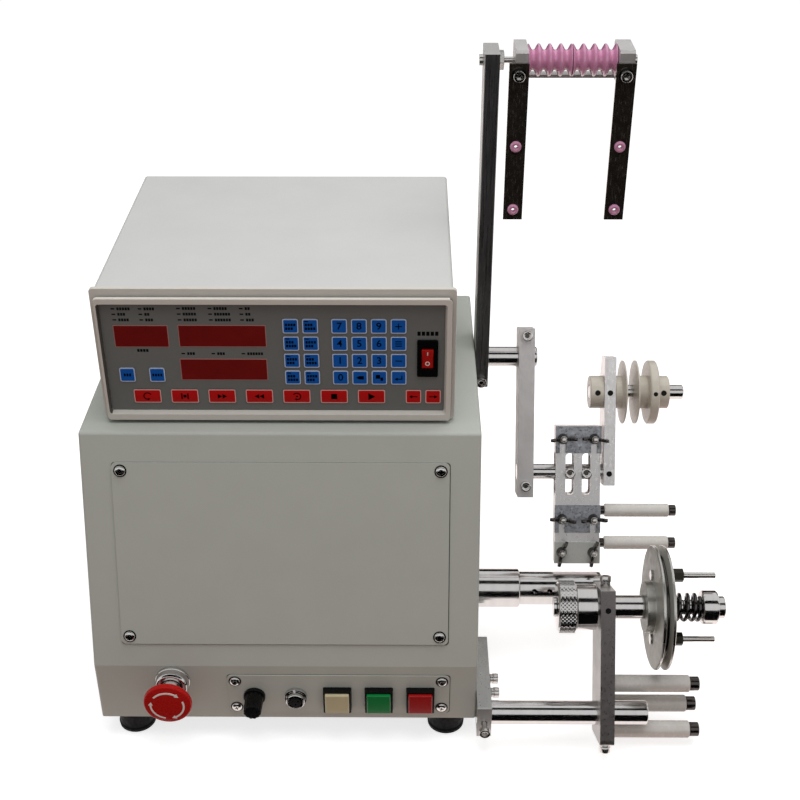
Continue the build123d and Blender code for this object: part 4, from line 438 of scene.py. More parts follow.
def make_finishes(colours):
    """All finishes by name, each from its maker, its colour and the maker's further settings."""
    table = {
        "cabinet_paint": (powder_coat, colours.cabinet),
        "box_paint": (powder_coat, colours.box),
        "seam_shadow": (powder_coat, srgb(84, 81, 76)),
        "painted_frame": (powder_coat, srgb(120, 122, 126)),
        "bezel_plastic": (moulded, colours.bezel, 0.44),
        "panel_film": (moulded, colours.panel, 0.5, 0.35, 0.02),
        "black_plastic": (moulded, srgb(9, 9, 10), 0.3, 0.5, 0.004),
        "red_plastic": (moulded, colours.stop, 0.27, 0.9, 0.006),
        "blue_key": (moulded, colours.blue_key, 0.34, 0.4, 0.008),
        "red_key": (moulded, colours.red_key, 0.34, 0.4, 0.008),
        "pale_border": (moulded, srgb(196, 212, 238), 0.42),
        "rose_border": (moulded, srgb(232, 178, 172), 0.42),
        "window_seal": (moulded, srgb(176, 128, 122), 0.42),
        "dark_window": (smoked_window, colours.window),
        "green_plastic": (lit_key, colours.start, 0.04),
        "cream_plastic": (lit_key, colours.reset, 0.03),
        "scarlet_plastic": (lit_key, colours.halt, 0.03),
        "pink_ceramic": (glazed, colours.ceramic),
        "white_sleeve": (smooth_coat, colours.sleeve, 0.24),
        "cream_enamel": (smooth_coat, colours.enamel),
        "grey_wheel": (hard_coat, colours.wheel),
        "pale_plate": (hard_coat, srgb(204, 205, 200)),
        "foot_rubber": (rubber, srgb(12, 12, 13)),
        "belt_rubber": (rubber, srgb(22, 22, 22)),
        "black_ink": (printed_ink, srgb(3, 3, 4)),
        "white_ink": (printed_ink, srgb(238, 236, 232)),
        "circuit_board": (board, srgb(28, 92, 52)),
        "galvanised": (galvanised, srgb(164, 166, 172)),
        "black_chrome": (black_chrome, srgb(84, 77, 71)),
        "aluminium": (drawn, srgb(240, 237, 237), 0.34, 14, 0.012, 0.1, 0.85),
        # Darker copy of the stand's steel for its front: real streaks, with painted shade of dark
        # reflections.
        "dark_steel": (drawn, srgb(140, 134, 133), 0.34, 24, 0.008, 0.3, 0.85),
        "pale_steel": (drawn, srgb(196, 194, 192), 0.4, 10, 0.01, 0.08, 0.6),
        "grey_aluminium": (drawn, srgb(214, 211, 210), 0.4, 16, 0.014, 0.18, 0.6),
        # Darker copy of the tower's steel for its front: real streaks, with painted shade of dark
        # reflections.
        "tower_steel": (drawn, srgb(120, 119, 120), 0.3, 24, 0.01, 0.34, 0.85),
        "bracket_steel": (drawn, srgb(186, 186, 184), 0.36, 10, 0.01, 0.2, 0.7),
        # Bright bevels of the swing legs: partly wear, partly painted highlight.
        "worn_edge": (drawn, srgb(176, 168, 160), 0.22, 1, 0.02, 0.9),
        "smoked_chrome": (drawn, srgb(84, 80, 78), 0.2, 1, 0.008, 0.15),
        "dull_standoff": (drawn, srgb(64, 62, 54), 0.36, 1, 0.008, 0.15),
        "plated_screw": (drawn, srgb(214, 211, 208), 0.2, 1, 0.008, 0.1),
        "spring_steel": (drawn, srgb(86, 84, 84), 0.16, 1, 0.004, 0.1),
        "wheel_edge": (turned, srgb(206, 205, 200), 0.26, TENSION_AXIS),
    }
    for shaft, axis in (("spindle", SPINDLE_AXIS), ("rod", ROD_AXIS), ("guide", GUIDE_AXIS),
                        ("pulley", PULLEY_AXIS), ("tension", TENSION_AXIS),
                        ("traverse", TRAVERSE_AXIS)):
        table[f"turned_{shaft}"] = (turned, srgb(214, 212, 211), 0.13, axis)
    for name, (maker, colour, *settings) in table.items():
        FINISHES[name] = maker(name, tuple(colour), *settings).material


def new_object(name, data):
    made = bpy.data.objects.new(name, data)
    bpy.context.scene.collection.objects.link(made)
    return made


def shade(mesh, angle=SHARP):
    """Smooth shading that keeps the edges sharper than the angle."""
    mesh.shade_smooth()
    mesh.set_sharp_from_angle(angle=angle)


def evaluated_mesh(made):
    graph = bpy.context.evaluated_depsgraph_get()
    return bpy.data.meshes.new_from_object(made.evaluated_get(graph), depsgraph=graph)


def settle(made):
    """Turns an object with its modifiers into a plain mesh."""
    mesh = evaluated_mesh(made)
    made.modifiers.clear()
    old = made.data
    made.data = mesh
    mesh.name = made.name
    if old.users == 0:
        bpy.data.meshes.remove(old)
    return made


def finish_piece(made, body, finish, nodes=()):
    """Gives a piece its material, its body and the nodes that it stands for."""
    made.data.materials.clear()
    made.data.materials.append(FINISHES[finish])
    for polygon in made.data.polygons:
        polygon.material_index = 0
    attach(made, body)
    if nodes:
        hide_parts(*nodes)
    return made


def soften(made, width):
    """Small rounded edges with even shading on the faces between them."""
    edges = made.modifiers.new("Edges", "BEVEL")
    edges.width = width * MM
    edges.segments = 2
    edges.limit_method = "ANGLE"
    edges.angle_limit = ROUNDED_OVER
    edges.miter_outer = "MITER_ARC"
    made.modifiers.new("Shading", "WEIGHTED_NORMAL").keep_sharp = True
    return settle(made)


def cut_away(made, cuts):
    """Takes shapes of (shape in mm, seat) away from an object."""
    cutter = new_object("cutter", mesh_of("cutter", cuts))
    opening = made.modifiers.new("Opening", "BOOLEAN")
    opening.operation = "DIFFERENCE"
    opening.solver = "EXACT"
    opening.object = cutter
    settle(made)
    bpy.data.objects.remove(cutter)
    shade(made.data)


def second_finish(made, finish, chosen):
    """Gives the faces that a test of (middle in mm, outward) picks another finish."""
    made.data.materials.append(FINISHES[finish])
    last = len(made.data.materials) - 1
    for polygon in made.data.polygons:
        if chosen(polygon.center / MM + SPINDLE_NOSE, polygon.normal):
            polygon.material_index = last


def dressed(node, finish, width, longer=(), cuts=()):
    """Copy of a CAD node with its triangles joined, its edges rounded and its finish on. Longer
    lists (place, direction, mm): what lies past the place is moved along the direction. Cuts are
    (shape in mm, seat) that are taken away."""
    source = frame["nodes"][node]
    mesh = source.data.copy()
    shape = bmesh.new()
    shape.from_mesh(mesh)
    bmesh.ops.remove_doubles(shape, verts=shape.verts, dist=WELD * MM)
    bmesh.ops.dissolve_limit(shape, angle_limit=FLAT_UNDER, verts=shape.verts, edges=shape.edges,
                             use_dissolve_boundaries=False)
    for place, direction, amount in longer:
        way = Vector(direction).normalized()
        for point in shape.verts:
            if (point.co - place).dot(way) > 0:
                point.co += way * amount * MM
    shape.to_mesh(mesh)
    shape.free()
    if "custom_normal" in mesh.attributes:
        mesh.attributes.remove(mesh.attributes["custom_normal"])
    shade(mesh)
    made = new_object(f"{node}_dressed", mesh)
    if cuts:
        cut_away(made, cuts)
    if width:
        soften(made, width)
    return finish_piece(made, source["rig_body"], finish, [node])


def dressed_group(table):
    for node, (finish, width) in table.items():
        dressed(node, finish, width)


def kept(nodes):
    """Gives CAD nodes that keep their shape their finishes."""
    for node, finish in nodes.items():
        source = frame["nodes"][node]
        if not source.material_slots:
            source.data.materials.append(None)
        for slot in source.material_slots:
            slot.material = FINISHES[finish]


NEARLY_STRAIGHT = 0.1               # turns in radians that aren't rounded
MOST_OF_SIDE = 0.45                 # share of a side that the rounding of one end may take


def rounded(profile, radius):
    """Profile of (height, radius) points with its inner corners rounded off."""
    points = [profile[0]]
    for before, corner, after in zip(profile, profile[1:], profile[2:]):
        into = Vector(corner) - Vector(before)
        out = Vector(after) - Vector(corner)
        if into.length == 0 or out.length == 0 or into.angle(out) < NEARLY_STRAIGHT:
            points.append(corner)
            continue
        reach = min(radius, into.length * MOST_OF_SIDE, out.length * MOST_OF_SIDE)
        start = Vector(corner) - into.normalized() * reach
        end = Vector(corner) + out.normalized() * reach
        for t in (0, 1 / 3, 2 / 3, 1):
            low = start.lerp(Vector(corner), t)
            points.append(tuple(low.lerp(Vector(corner).lerp(end, t), t)))
    return points + [profile[-1]]


def ring_stack(rings, count, closed=False):
    """Mesh, in mm round local Z, of rings of (height, reach). A reach is a radius, or a function of
    the angle. A closed stack joins its last ring to its first; an open one is capped."""
    shape = bmesh.new()
    loops = []
    for height, reach in rings:
        if not callable(reach) and reach == 0:
            loops.append([shape.verts.new((0, 0, height))])
            continue
        loop = []
        for index in range(count):
            angle = 2 * pi * index / count
            radius = reach(angle) if callable(reach) else reach
            loop.append(shape.verts.new((radius * cos(angle), radius * sin(angle), height)))
        loops.append(loop)
    pairs = list(zip(loops, loops[1:])) + ([(loops[-1], loops[0])] if closed else [])
    for low, high in pairs:
        for index in range(count):
            after = (index + 1) % count
            if len(low) == 1:
                shape.faces.new((low[0], high[after], high[index]))
            elif len(high) == 1:
                shape.faces.new((low[index], low[after], high[0]))
            else:
                shape.faces.new((low[index], low[after], high[after], high[index]))
    if not closed:
        if len(loops[0]) > 1:
            shape.faces.new(list(reversed(loops[0])))
        if len(loops[-1]) > 1:
            shape.faces.new(loops[-1])
    bmesh.ops.recalc_face_normals(shape, faces=shape.faces)
    return shape


def hexagon(across):
    """Reach of a hexagon, by its width over the flats."""
    return lambda angle: across / 2 / cos((angle % (pi / 3)) - pi / 6)


def cross(reach, waist):
    """Reach of a cross recess, whose waist is a share of it."""
    return lambda angle: reach * (waist + (1 - waist) * abs(cos(2 * angle)) ** 5)


def mesh_of(name, shapes):
    """Mesh of several (shape, matrix in metres), each shape drawn in mm."""
    whole = bmesh.new()
    for shape, place in shapes:
        part_mesh = bpy.data.meshes.new("part")
        shape.to_mesh(part_mesh)
        shape.free()
        part_mesh.transform(place @ Matrix.Diagonal((MM, MM, MM, 1)))
        whole.from_mesh(part_mesh)
        bpy.data.meshes.remove(part_mesh)
    mesh = bpy.data.meshes.new(name)
    whole.to_mesh(mesh)
    whole.free()
    return mesh


def piece_of(name, shapes, body, finish, nodes=(), angle=SHARP):
    """A finished piece from several small shapes."""
    mesh = mesh_of(name, shapes)
    shade(mesh, angle)
    return finish_piece(new_object(name, mesh), body, finish, nodes)


def round_work(name, profile, start, axis, body, finish, nodes=(), edge=0.5):
    """Turned piece along X: its profile is (distance from start, radius), in mm."""
    shape = ring_stack(rounded(profile, edge), 96, closed=True)
    piece_of(name, [(shape, along_x(start, axis))], body, finish, nodes=nodes)


def slab(outline, thickness):
    """Flat shape of an outline in local XY, in mm, with its thickness up local Z."""
    shape = bmesh.new()
    low, high = ([shape.verts.new((x, y, z)) for x, y in outline] for z in (0, thickness))
    shape.faces.new(low[::-1])
    shape.faces.new(high)
    for index in range(len(outline)):
        shape.faces.new((low[index - 1], low[index], high[index], high[index - 1]))
    bmesh.ops.recalc_face_normals(shape, faces=shape.faces)
    return shape


def rounded_rectangle(width, height, corner, steps=4):
    """Outline points of a rectangle with round corners, round the origin."""
    points = []
    for quarter, (side, rise) in enumerate(((1, 1), (-1, 1), (-1, -1), (1, -1))):
        centre = (side * (width / 2 - corner), rise * (height / 2 - corner))
        for step in range(steps + 1):
            angle = (quarter + step / steps) * pi / 2
            points.append((centre[0] + corner * cos(angle), centre[1] + corner * sin(angle)))
    return points


# ---------------------------------------------------------------- what repeats
KEY_SLOPE = 0.3                     # share of a key's height that slopes
KEY_TOP = 0.975                     # size of its top
EVEN_PITCH = 0.35                   # share of a spring's pitch that is the same all along
LEAST_FACETS = 24
WHOLE_TURNS = 100                   # added so that no winding falls below nothing
SOCKET_KINDS = {"size": "NodeSocketFloat", "count": "NodeSocketInt", "piece": "NodeSocketObject"}
SIGNS = {"+": "ADD", "-": "SUBTRACT", "*": "MULTIPLY", "/": "DIVIDE"}


class Growth(NodeWork):
    """Geometry Nodes tree with named inputs. Its shape is set on every point that it is given."""

    def __init__(self, name, **inputs):
        super().__init__(bpy.data.node_groups.new(name, "GeometryNodeTree"))
        face = self.tree.interface
        face.new_socket("Geometry", in_out="INPUT", socket_type="NodeSocketGeometry")
        for label, kind in inputs.items():
            face.new_socket(label, in_out="INPUT", socket_type=SOCKET_KINDS[kind])
        face.new_socket("Finish", in_out="INPUT", socket_type="NodeSocketMaterial")
        face.new_socket("Geometry", in_out="OUTPUT", socket_type="NodeSocketGeometry")
        self.points, *self.given, self.finish, _ = self.tree.nodes.new("NodeGroupInput").outputs

    def sum(self, first, sign, second):
        """Number from two. A sign is one of +, -, * and /, or the name of an operation."""
        return self.add("ShaderNodeMath", {0: first, 1: second}, operation=SIGNS.get(sign, sign))[0]

    def places(self):
        """X, Y and Z of every point."""
        place = self.add("GeometryNodeInputPosition")[0]
        return self.add("ShaderNodeSeparateXYZ", {"Vector": place})

    def moved(self, shape, x, y, z):
        """The shape with its points at other places."""
        place = self.add("ShaderNodeCombineXYZ", {"X": x, "Y": y, "Z": z})[0]
        return self.add("GeometryNodeSetPosition", {"Geometry": shape, "Position": place})[0]

    def close(self, shape):
        """Sets the shape on the points, makes the copies real and gives them the finish."""
        turn = self.add("GeometryNodeInputNamedAttribute", {"Name": "turn"},
                        data_type="FLOAT_VECTOR")[0]
        facing = self.add("FunctionNodeEulerToRotation", {"Euler": turn})[0]
        copies = self.add("GeometryNodeInstanceOnPoints", {
            "Points": self.points, "Instance": shape, "Rotation": facing})[0]
        real = self.add("GeometryNodeRealizeInstances", {"Geometry": copies})[0]
        coat = self.add("GeometryNodeSetMaterial", {"Geometry": real, "Material": self.finish})[0]
        self.add("NodeGroupOutput", {"Geometry": coat})
        return self.tree


def set_pieces_tree():
    """Copies of one piece."""
    growth = Growth("Set Pieces", Piece="piece")
    shape = growth.add("GeometryNodeObjectInfo", {"Object": growth.given[0]},
                       transform_space="ORIGINAL")
    return growth.close(shape[-1])


def key_field_tree():
    """Raised rectangles with round corners and a small slope round their edges."""
    growth = Growth("Key Field", Width="size", Height="size", Corner="size", Thickness="size")
    width, height, corner, thickness = growth.given

    def raised(mesh, share, **selection):
        return growth.add("GeometryNodeExtrudeMesh", {
            "Mesh": mesh, "Offset Scale": growth.sum(thickness, "*", share),
            "Individual": False, **selection})

    outline = growth.add("GeometryNodeCurvePrimitiveQuadrilateral",
                         {"Width": width, "Height": height})[0]
    outline = growth.add("GeometryNodeFilletCurve",
                         {"Curve": outline, "Count": 5, "Radius": corner}, mode="POLY")[0]
    face = growth.add("GeometryNodeFillCurve", {"Curve": outline})[0]
    base = raised(face, 1 - KEY_SLOPE)
    slope = raised(base[0], KEY_SLOPE, Selection=base[1])
    return growth.close(growth.add("GeometryNodeScaleElements", {
        "Geometry": slope[0], "Selection": slope[1], "Scale": KEY_TOP})[0])


def coil_tree():
    """Compression spring up local Z, its turns closer at both ends."""
    growth = Growth("Coil", Radius="size", Wire="size", Length="size", Turns="size")
    radius, wire, length, turns = growth.given
    line = growth.add("GeometryNodeCurveSpiral", {
        "Resolution": 44, "Rotations": turns, "Start Radius": radius, "End Radius": radius,
        "Height": length})[0]
    x, y, z = growth.places()
    share = growth.sum(z, "/", length)
    eased = growth.add("ShaderNodeMapRange", {"Value": share}, interpolation_type="SMOOTHSTEP")[0]
    mixed = growth.sum(growth.sum(share, "*", EVEN_PITCH), "+",
                       growth.sum(eased, "*", 1 - EVEN_PITCH))
    line = growth.moved(line, x, y, growth.sum(mixed, "*", length))
    ring = growth.add("GeometryNodeCurvePrimitiveCircle", {"Resolution": 16, "Radius": wire})[0]
    return growth.close(growth.add("GeometryNodeCurveToMesh", {
        "Curve": line, "Profile Curve": ring, "Fill Caps": True})[0])


def relief_tree(name, both_ways, steps):
    """Band round local Z with a relief that winds round it, one way as a thread, or both ways as
    a diamond knurl. Steps are the facets for each tooth or turn."""
    growth = Growth(name, Radius="size", Length="size", Teeth="count", Pitch="size", Depth="size")
    radius, length, teeth, pitch, full_depth = growth.given
    around = growth.sum(growth.sum(teeth, "*", steps), "MAXIMUM", LEAST_FACETS)
    along = growth.sum(growth.sum(length, "/", pitch), "*", steps)
    band = growth.add("GeometryNodeMeshCylinder", {
        "Vertices": around, "Side Segments": along, "Radius": radius, "Depth": length},
        fill_type="NGON")[0]
    x, y, z = growth.places()
    turn = growth.sum(growth.sum(growth.sum(y, "ARCTAN2", x), "/", 2 * pi), "*", teeth)
    rise = growth.sum(z, "/", pitch)
    winding = growth.sum(turn, "+", growth.sum(rise, "+", WHOLE_TURNS))
    valley = growth.sum(winding, "PINGPONG", 0.5)
    if both_ways:
        back = growth.sum(turn, "-", growth.sum(rise, "-", WHOLE_TURNS))
        valley = growth.sum(valley, "MINIMUM", growth.sum(back, "PINGPONG", 0.5))
    depth = growth.sum(growth.sum(valley, "*", 2), "*", full_depth)
    share = growth.sum(1, "-", growth.sum(depth, "/", radius))
    return growth.close(growth.moved(band, growth.sum(x, "*", share), growth.sum(y, "*", share),
                                     growth.sum(z, "+", growth.sum(length, "/", 2))))


TREES = {}


def make_trees():
    TREES.update({
        "set_pieces": set_pieces_tree(),
        "key_field": key_field_tree(),
        "coil": coil_tree(),
        "knurled_band": relief_tree("Knurled Band", True, 4),
        "threaded_rod": relief_tree("Threaded Rod", False, 6),
    })


def grown(name, tree, inputs, seats, body, finish, nodes=(), angle=SHARP):
    """Plain mesh of a tree's shape on its seats, with its material and its body."""
    mesh = bpy.data.meshes.new(name)
    mesh.from_pydata([seat.to_translation() for seat in seats], [], [])
    turns = mesh.attributes.new("turn", "FLOAT_VECTOR", "POINT")
    for item, seat in zip(turns.data, seats):
        item.vector = seat.to_euler()
    made = new_object(name, mesh)
    growth = made.modifiers.new("Growth", "NODES")
    growth.node_group = TREES[tree]
    given = {**inputs, "Finish": FINISHES[finish]}
    for socket in TREES[tree].interface.items_tree:
        if socket.in_out == "INPUT" and socket.name in given:
            growth[socket.identifier] = given[socket.name]
    settle(made)
    if not len(made.data.polygons):
        raise RuntimeError(f"{name} grew nothing")
    shade(made.data, angle)
    return finish_piece(made, body, finish, nodes)


def set_pieces(name, shapes, seats, body, finish, nodes=(), soft=0.0):
    """One shape, or several of (shape, matrix), drawn in mm and set on several seats."""
    if not isinstance(shapes, list):
        shapes = [(shapes, Matrix())]
    mesh = mesh_of(f"{name}_template", shapes)
    shade(mesh)
    piece = new_object(f"{name}_template", mesh)
    if soft:
        soften(piece, soft)
    made = grown(name, "set_pieces", {"Piece": piece}, seats, body, finish, nodes=nodes)
    bpy.data.objects.remove(piece)
    return made


# ---------------------------------------------------------------- small shapes, in mm up local Z
def cap_screw(length=5.0, radius=4.6, across=5.2):
    """Head of a socket cap screw with a slightly domed rim and its hexagon socket."""
    rings = [(0, radius - 0.1), (0.25, radius), (length - 0.55, radius),
             (length - 0.16, radius - 0.2), (length, radius - 0.62), (length, across * 0.64),
             (length - 0.2, hexagon(across)), (length * 0.4, hexagon(across)), (length * 0.33, 0.4)]
    return ring_stack(rings, 48)


def socket_shade(length=5.0, across=3.6):
    """Painted shade at the bottom of a cap screw's socket."""
    reach = hexagon(across - 0.1)
    return ring_stack([(length * 0.3, reach), (length * 0.62, reach)], 48)


def shank(length):
    """Bright neck under a cap screw's head."""
    return ring_stack([(-0.1, 3.9), (0.3, 4.1), (length, 4.1)], 32)


def set_screw(radius=2.45):
    """Set screw sunk in its hole, with its hexagon socket."""
    rings = [(-0.6, radius), (0, radius), (0, hexagon(2.5)), (-0.5, hexagon(2.5)), (-0.5, 0.1)]
    return ring_stack(rings, 48)


def flat_ring(outer, inner, height=0.25):
    """Thin shade ring under a screw's head."""
    return ring_stack([(0, outer), (height, outer), (height, inner)], 40)


def pan_screw(height=2.4, radius=4.5):
    """Domed screw head with a cross recess."""
    angles = [step * pi / 14 for step in range(6)]
    dome = [(height * sin(angle) ** 0.8, radius * cos(angle)) for angle in angles]
    top = height * 0.96
    rings = [(-0.05, radius), *dome, (top, radius * 0.5), (top - 0.02, cross(radius * 0.48, 0.34)),
             (top - 1.3, cross(radius * 0.3, 0.5)), (top - 1.45, 0.1)]
    return ring_stack(rings, 48)


def wing_nut(radius=4.6, height=7.6, span=24.0):
    """Cast wing nut on its stud, with a round hub and two rounded wings along local X."""
    hub = ring_stack([(0, radius), (0.5, radius + 0.3), (1.2, radius), (height - 1, radius - 1.0),
                      (height, radius - 1.7), (height, 2.4), (height - 2, 2.3)], 40)
    stud = ring_stack([(height - 3, 2.2), (height + 2.2, 2.2), (height + 2.8, 1.7)], 24)
    half = span / 2
    outline = [(radius - 1.6, 0.8), (radius + 1.2, 1.1), (half - 3.4, 4.4), (half - 0.7, 7.4),
               (half, 9.6), (half - 0.9, 11.6), (half - 2.8, 12.1), (half - 5.0, 10.7),
               (radius + 1.0, 7.7), (radius - 1.8, 6.6)]
    upright = Matrix.Translation((0, 1.3 * MM, 0)) @ Matrix.Rotation(radians(90), 4, "X")
    return [(hub, Matrix()), (stud, Matrix())] + [
        (slab([(side * x, z) for x, z in outline][::side], 2.6), upright) for side in (1, -1)]


def eyelet(flange=4.6, proud=2.2, bore=1.3):
    """Flared ceramic eyelet that stands on its seat."""
    rings = [(-1.2, flange - 0.5), (0, flange)]
    for step in range(9):
        angle = step * pi / 8
        rings.append((proud * (0.3 + 0.7 * sin(angle)), (flange + bore) / 2
                      + (flange - bore) / 2 * cos(angle)))
    rings += [(-1.6, bore), (-1.6, bore + 0.4)]
    return ring_stack(rings, 40, closed=True)


def foot(radius=17.0, height=24.0):
    """Moulded rubber foot with a foot ring and a shallow waist, its seat upwards."""
    rings = [(0, radius - 0.4), (-1.2, radius), (-6, radius - 0.9), (-height + 5, radius - 1.9),
             (-height + 3.6, radius - 1.1), (-height + 1, radius - 1.3), (-height, radius - 2.4),
             (-height, 6), (-height + 4, 5.2)]
    return ring_stack(rings[::-1], 56)


def on_front(node, x, z):
    """Seat on a node's front face, seen from the front at x and z in mm."""
    mesh = frame["nodes"][node].data
    tree = BVHTree.FromPolygons([v.co for v in mesh.vertices], [p.vertices for p in mesh.polygons])
    place, normal, _, _ = tree.ray_cast(at(x, -200, z), Vector((0, 1, 0)))
    if place is None:
        raise RuntimeError(f"{node} has no front at {x}, {z}")
    return pointing(place, normal)


# ---------------------------------------------------------------- settings


def colour_of(name, description, red, green, blue):
    return bpy.props.FloatVectorProperty(name=name, description=description, subtype="COLOR",
                                         size=3, min=0, max=1, default=srgb(red, green, blue))


def length_of(name, description, default, high, low=0.0):
    return bpy.props.FloatProperty(name=name, description=description, default=default, min=low,
                                   max=high, unit="LENGTH")


def share_of(name, description, default, high):
    return bpy.props.FloatProperty(name=name, description=description, default=default, min=0,
                                   max=high, subtype="FACTOR")


class WinderColours(bpy.types.PropertyGroup):
    """Colours of paints, plastics and ceramics."""

    cabinet: colour_of("Cabinet", "Textured paint of the cabinet", 196, 200, 192)
    box: colour_of("Control box", "Paint of the control box", 214, 215, 212)
    bezel: colour_of("Bezel", "Moulded frame of the control panel", 220, 216, 208)
    panel: colour_of("Panel", "Film of the control panel", 117, 119, 117)
    window: colour_of("Windows", "Acrylic over the digits", 122, 16, 14)
    stop: colour_of("Stop button", "Mushroom head of the emergency stop", 188, 22, 18)
    reset: colour_of("Reset key", "Cap of the left key", 200, 190, 156)
    start: colour_of("Start key", "Cap of the middle key", 8, 122, 58)
    halt: colour_of("Halt key", "Cap of the right key", 164, 20, 22)
    ceramic: colour_of("Ceramic", "Pink guide rollers and eyelets", 208, 144, 178)
    sleeve: colour_of("Sleeves", "White turning sleeves", 228, 224, 218)
    enamel: colour_of("Enamel", "Cream wire discs and collars", 212, 205, 192)
    wheel: colour_of("Brake wheel", "Hard coat of the brake wheel", 178, 178, 170)
    blue_key: colour_of("Blue keys", "Keypad and command keys", 3, 92, 184)
    red_key: colour_of("Red keys", "Keys in the lower row", 196, 12, 14)


class WinderSizes(bpy.types.PropertyGroup):
    """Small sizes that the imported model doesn't set."""

    edge: length_of("Machined edge", "Width of broken metal edges", 0.0005, 0.002)
    sheet_edge: length_of("Sheet edge", "Width of sheet metal edges", 0.00025, 0.001)
    key_relief: length_of("Key relief", "Height of a key's pad", 0.0007, 0.002)
    knurl_depth: length_of("Knurl depth", "Depth of the knob's knurl", 0.0009, 0.002)
    thread_pitch: length_of("Thread pitch", "Pitch of the tension shaft's thread", 0.00175, 0.004,
                            0.0008)


class WinderStage(bpy.types.PropertyGroup):
    """Light and ground."""

    lamp: bpy.props.FloatProperty(name="Overhead lamp", min=0, max=500, default=14.8,
                                  description="Power of the large lamp, in watts")
    room: share_of("Room light", "Even light from all round", 0.4, 2)
    glow: share_of("Ground glow", "Light of its own that the ground shows the camera", 0.7, 2)
    bounce: colour_of("Ground bounce", "Warm light that the ground throws back", 198, 170, 159)
    mirrored: share_of("Ground in reflections", "Brightness of the ground in metal", 0.9, 2)


# ---------------------------------------------------------------- operators


class WinderOperator(bpy.types.Operator):
    """Shared ways to the settings."""

    bl_options = {"REGISTER", "INTERNAL"}

    @property
    def sizes(self):
        return bpy.context.scene.winder_sizes


class WINDER_OT_finishes(WinderOperator):
    """Make the node materials and the trees for what repeats"""

    bl_idname = "winder.finishes"
    bl_label = "Finishes and Trees"

    def execute(self, context):
        make_finishes(context.scene.winder_colours)
        make_trees()
        return {"FINISHED"}


class WINDER_OT_cabinet(WinderOperator):
    """Finish the cabinet's sheet metal and its inner frame"""

    bl_idname = "winder.cabinet"
    bl_label = "Cabinet"

    def execute(self, context):
        kept({"body_shell": "cabinet_paint", "chassis": "painted_frame", "motors": "painted_frame",
              "drive_belt": "belt_rubber", "lead_screw": "turned_traverse",
              "motor_pulley": "aluminium", "bearings": "turned_spindle",
              "electronics": "circuit_board", "mains_inlet": "black_plastic"})
        dressed("front_plates", "cabinet_paint", self.sizes.sheet_edge / MM)
        dressed("lower_bracket", "bracket_steel", self.sizes.edge / MM)
        return {"FINISHED"}


class WINDER_OT_feet(WinderOperator):
    """Set the rubber feet under the cabinet and the pads under the control box"""

    bl_idname = "winder.feet"
    bl_label = "Feet and Pads"

    def execute(self, context):
        seats = [Matrix.Translation(at(x, y, FOOT_HEIGHT)) for x, y in FOOT_PLACES]
        set_pieces("foot_row", foot(), seats, "cabinet", "foot_rubber", nodes=["rubber_feet"])
        pads = [Matrix.Translation(at(x, y, BOX_UNDERSIDE)) for x, y in PAD_PLACES]
        pad = ring_stack([(0, 7.6), (0.5, 8), (2.4, 8), (2.95, 7.4)], 40)
        set_pieces("box_pads", pad, pads, "cabinet", "foot_rubber")
        return {"FINISHED"}


class WINDER_OT_cabinet_screws(WinderOperator):
    """Set the cross screws of the plates and the cap screws of the lower bracket"""

    bl_idname = "winder.cabinet_screws"
    bl_label = "Cabinet Screws"

    def execute(self, context):
        outward = face_of(FRONT_LEAN)
        seats = [pointing(on_plate(x, FRONT_KINK, FRONT_LEAN, 0, up) + outward * PLATE_STANDS * MM,
                          outward, aslant(turn)) for x, up, turn in FRONT_SCREWS]
        seats += [pointing(at(x, STRIP_FACE_Y, z), TO_FRONT, aslant(turn))
                  for x, z, turn in STRIP_SCREWS]
        set_pieces("plate_screws", pan_screw(), seats, "cabinet", "plated_screw",
                   nodes=["cabinet_screws"])
        # Dark rings round the plate screw heads are painted contact shadow.
        piece_of("plate_screw_washers", [(flat_ring(5.3, 4.0), seat) for seat in seats], "cabinet",
                 "black_plastic")
        # Black cross shapes that fill the screw recesses are painted shade.
        recess = ring_stack([(0.9, cross(2.1, 0.34)), (2.24, cross(2.1, 0.34))], 48)
        set_pieces("plate_screw_recesses", recess, seats, "cabinet", "black_plastic")
        # Dark rounded outlines behind the edges of the plates are painted shade in the gaps round
        # them.
        x, up, *front_size = FRONT_SEAM
        upper = pointing(on_plate(x, FRONT_KINK, FRONT_LEAN, 0, up), outward)
        x, z, *strip_size = STRIP_SEAM
        lower = pointing(at(x, 0, z), TO_FRONT)
        seam_shades = [(slab(rounded_rectangle(*size, 3.0), 0.3), seat)
                 for size, seat in ((front_size, upper), (strip_size, lower))]
        piece_of("plate_seams", seam_shades, "cabinet", "seam_shadow")
        front = at(*BRACKET_FRONT_SCREW)
        caps = [pointing(at(BRACKET_X, y, z), X_AXIS, (0, cos(y), sin(y)))
                for y, z in BRACKET_SIDE_SCREWS]
        caps.append(pointing(front, TO_FRONT, (0.9, 0, 0.4)))
        set_pieces("bracket_screws", cap_screw(), caps, "cabinet", "plated_screw")
        shanks = [(ring_stack([(0, 2.4), (8.1, 2.4)], 32), pointing(front, -TO_FRONT))]
        shanks += [(shank(3.6), along_x(172, axis)) for axis in BRACKET_SIDE_SCREWS]
        piece_of("bracket_shanks", shanks, "cabinet", "plated_screw")
        return {"FINISHED"}


class WINDER_OT_strip(WinderOperator):
    """Finish the fuse holder, the round socket and the switch bezels"""

    bl_idname = "winder.strip"
    bl_label = "Fuse, Socket and Bezels"

    def execute(self, context):
        dressed_group({"fuse_holder": ("black_plastic", 0.2),
                       "switch_bezels": ("black_plastic", 0.35)})
        socket = dressed("round_socket", "turned_rod", 0.2)
        second_finish(socket, "black_plastic", lambda middle, outward: (
            Vector((middle.x, middle.z)) - Vector(SOCKET_PLACE)).length < SOCKET_INSERT)
        return {"FINISHED"}


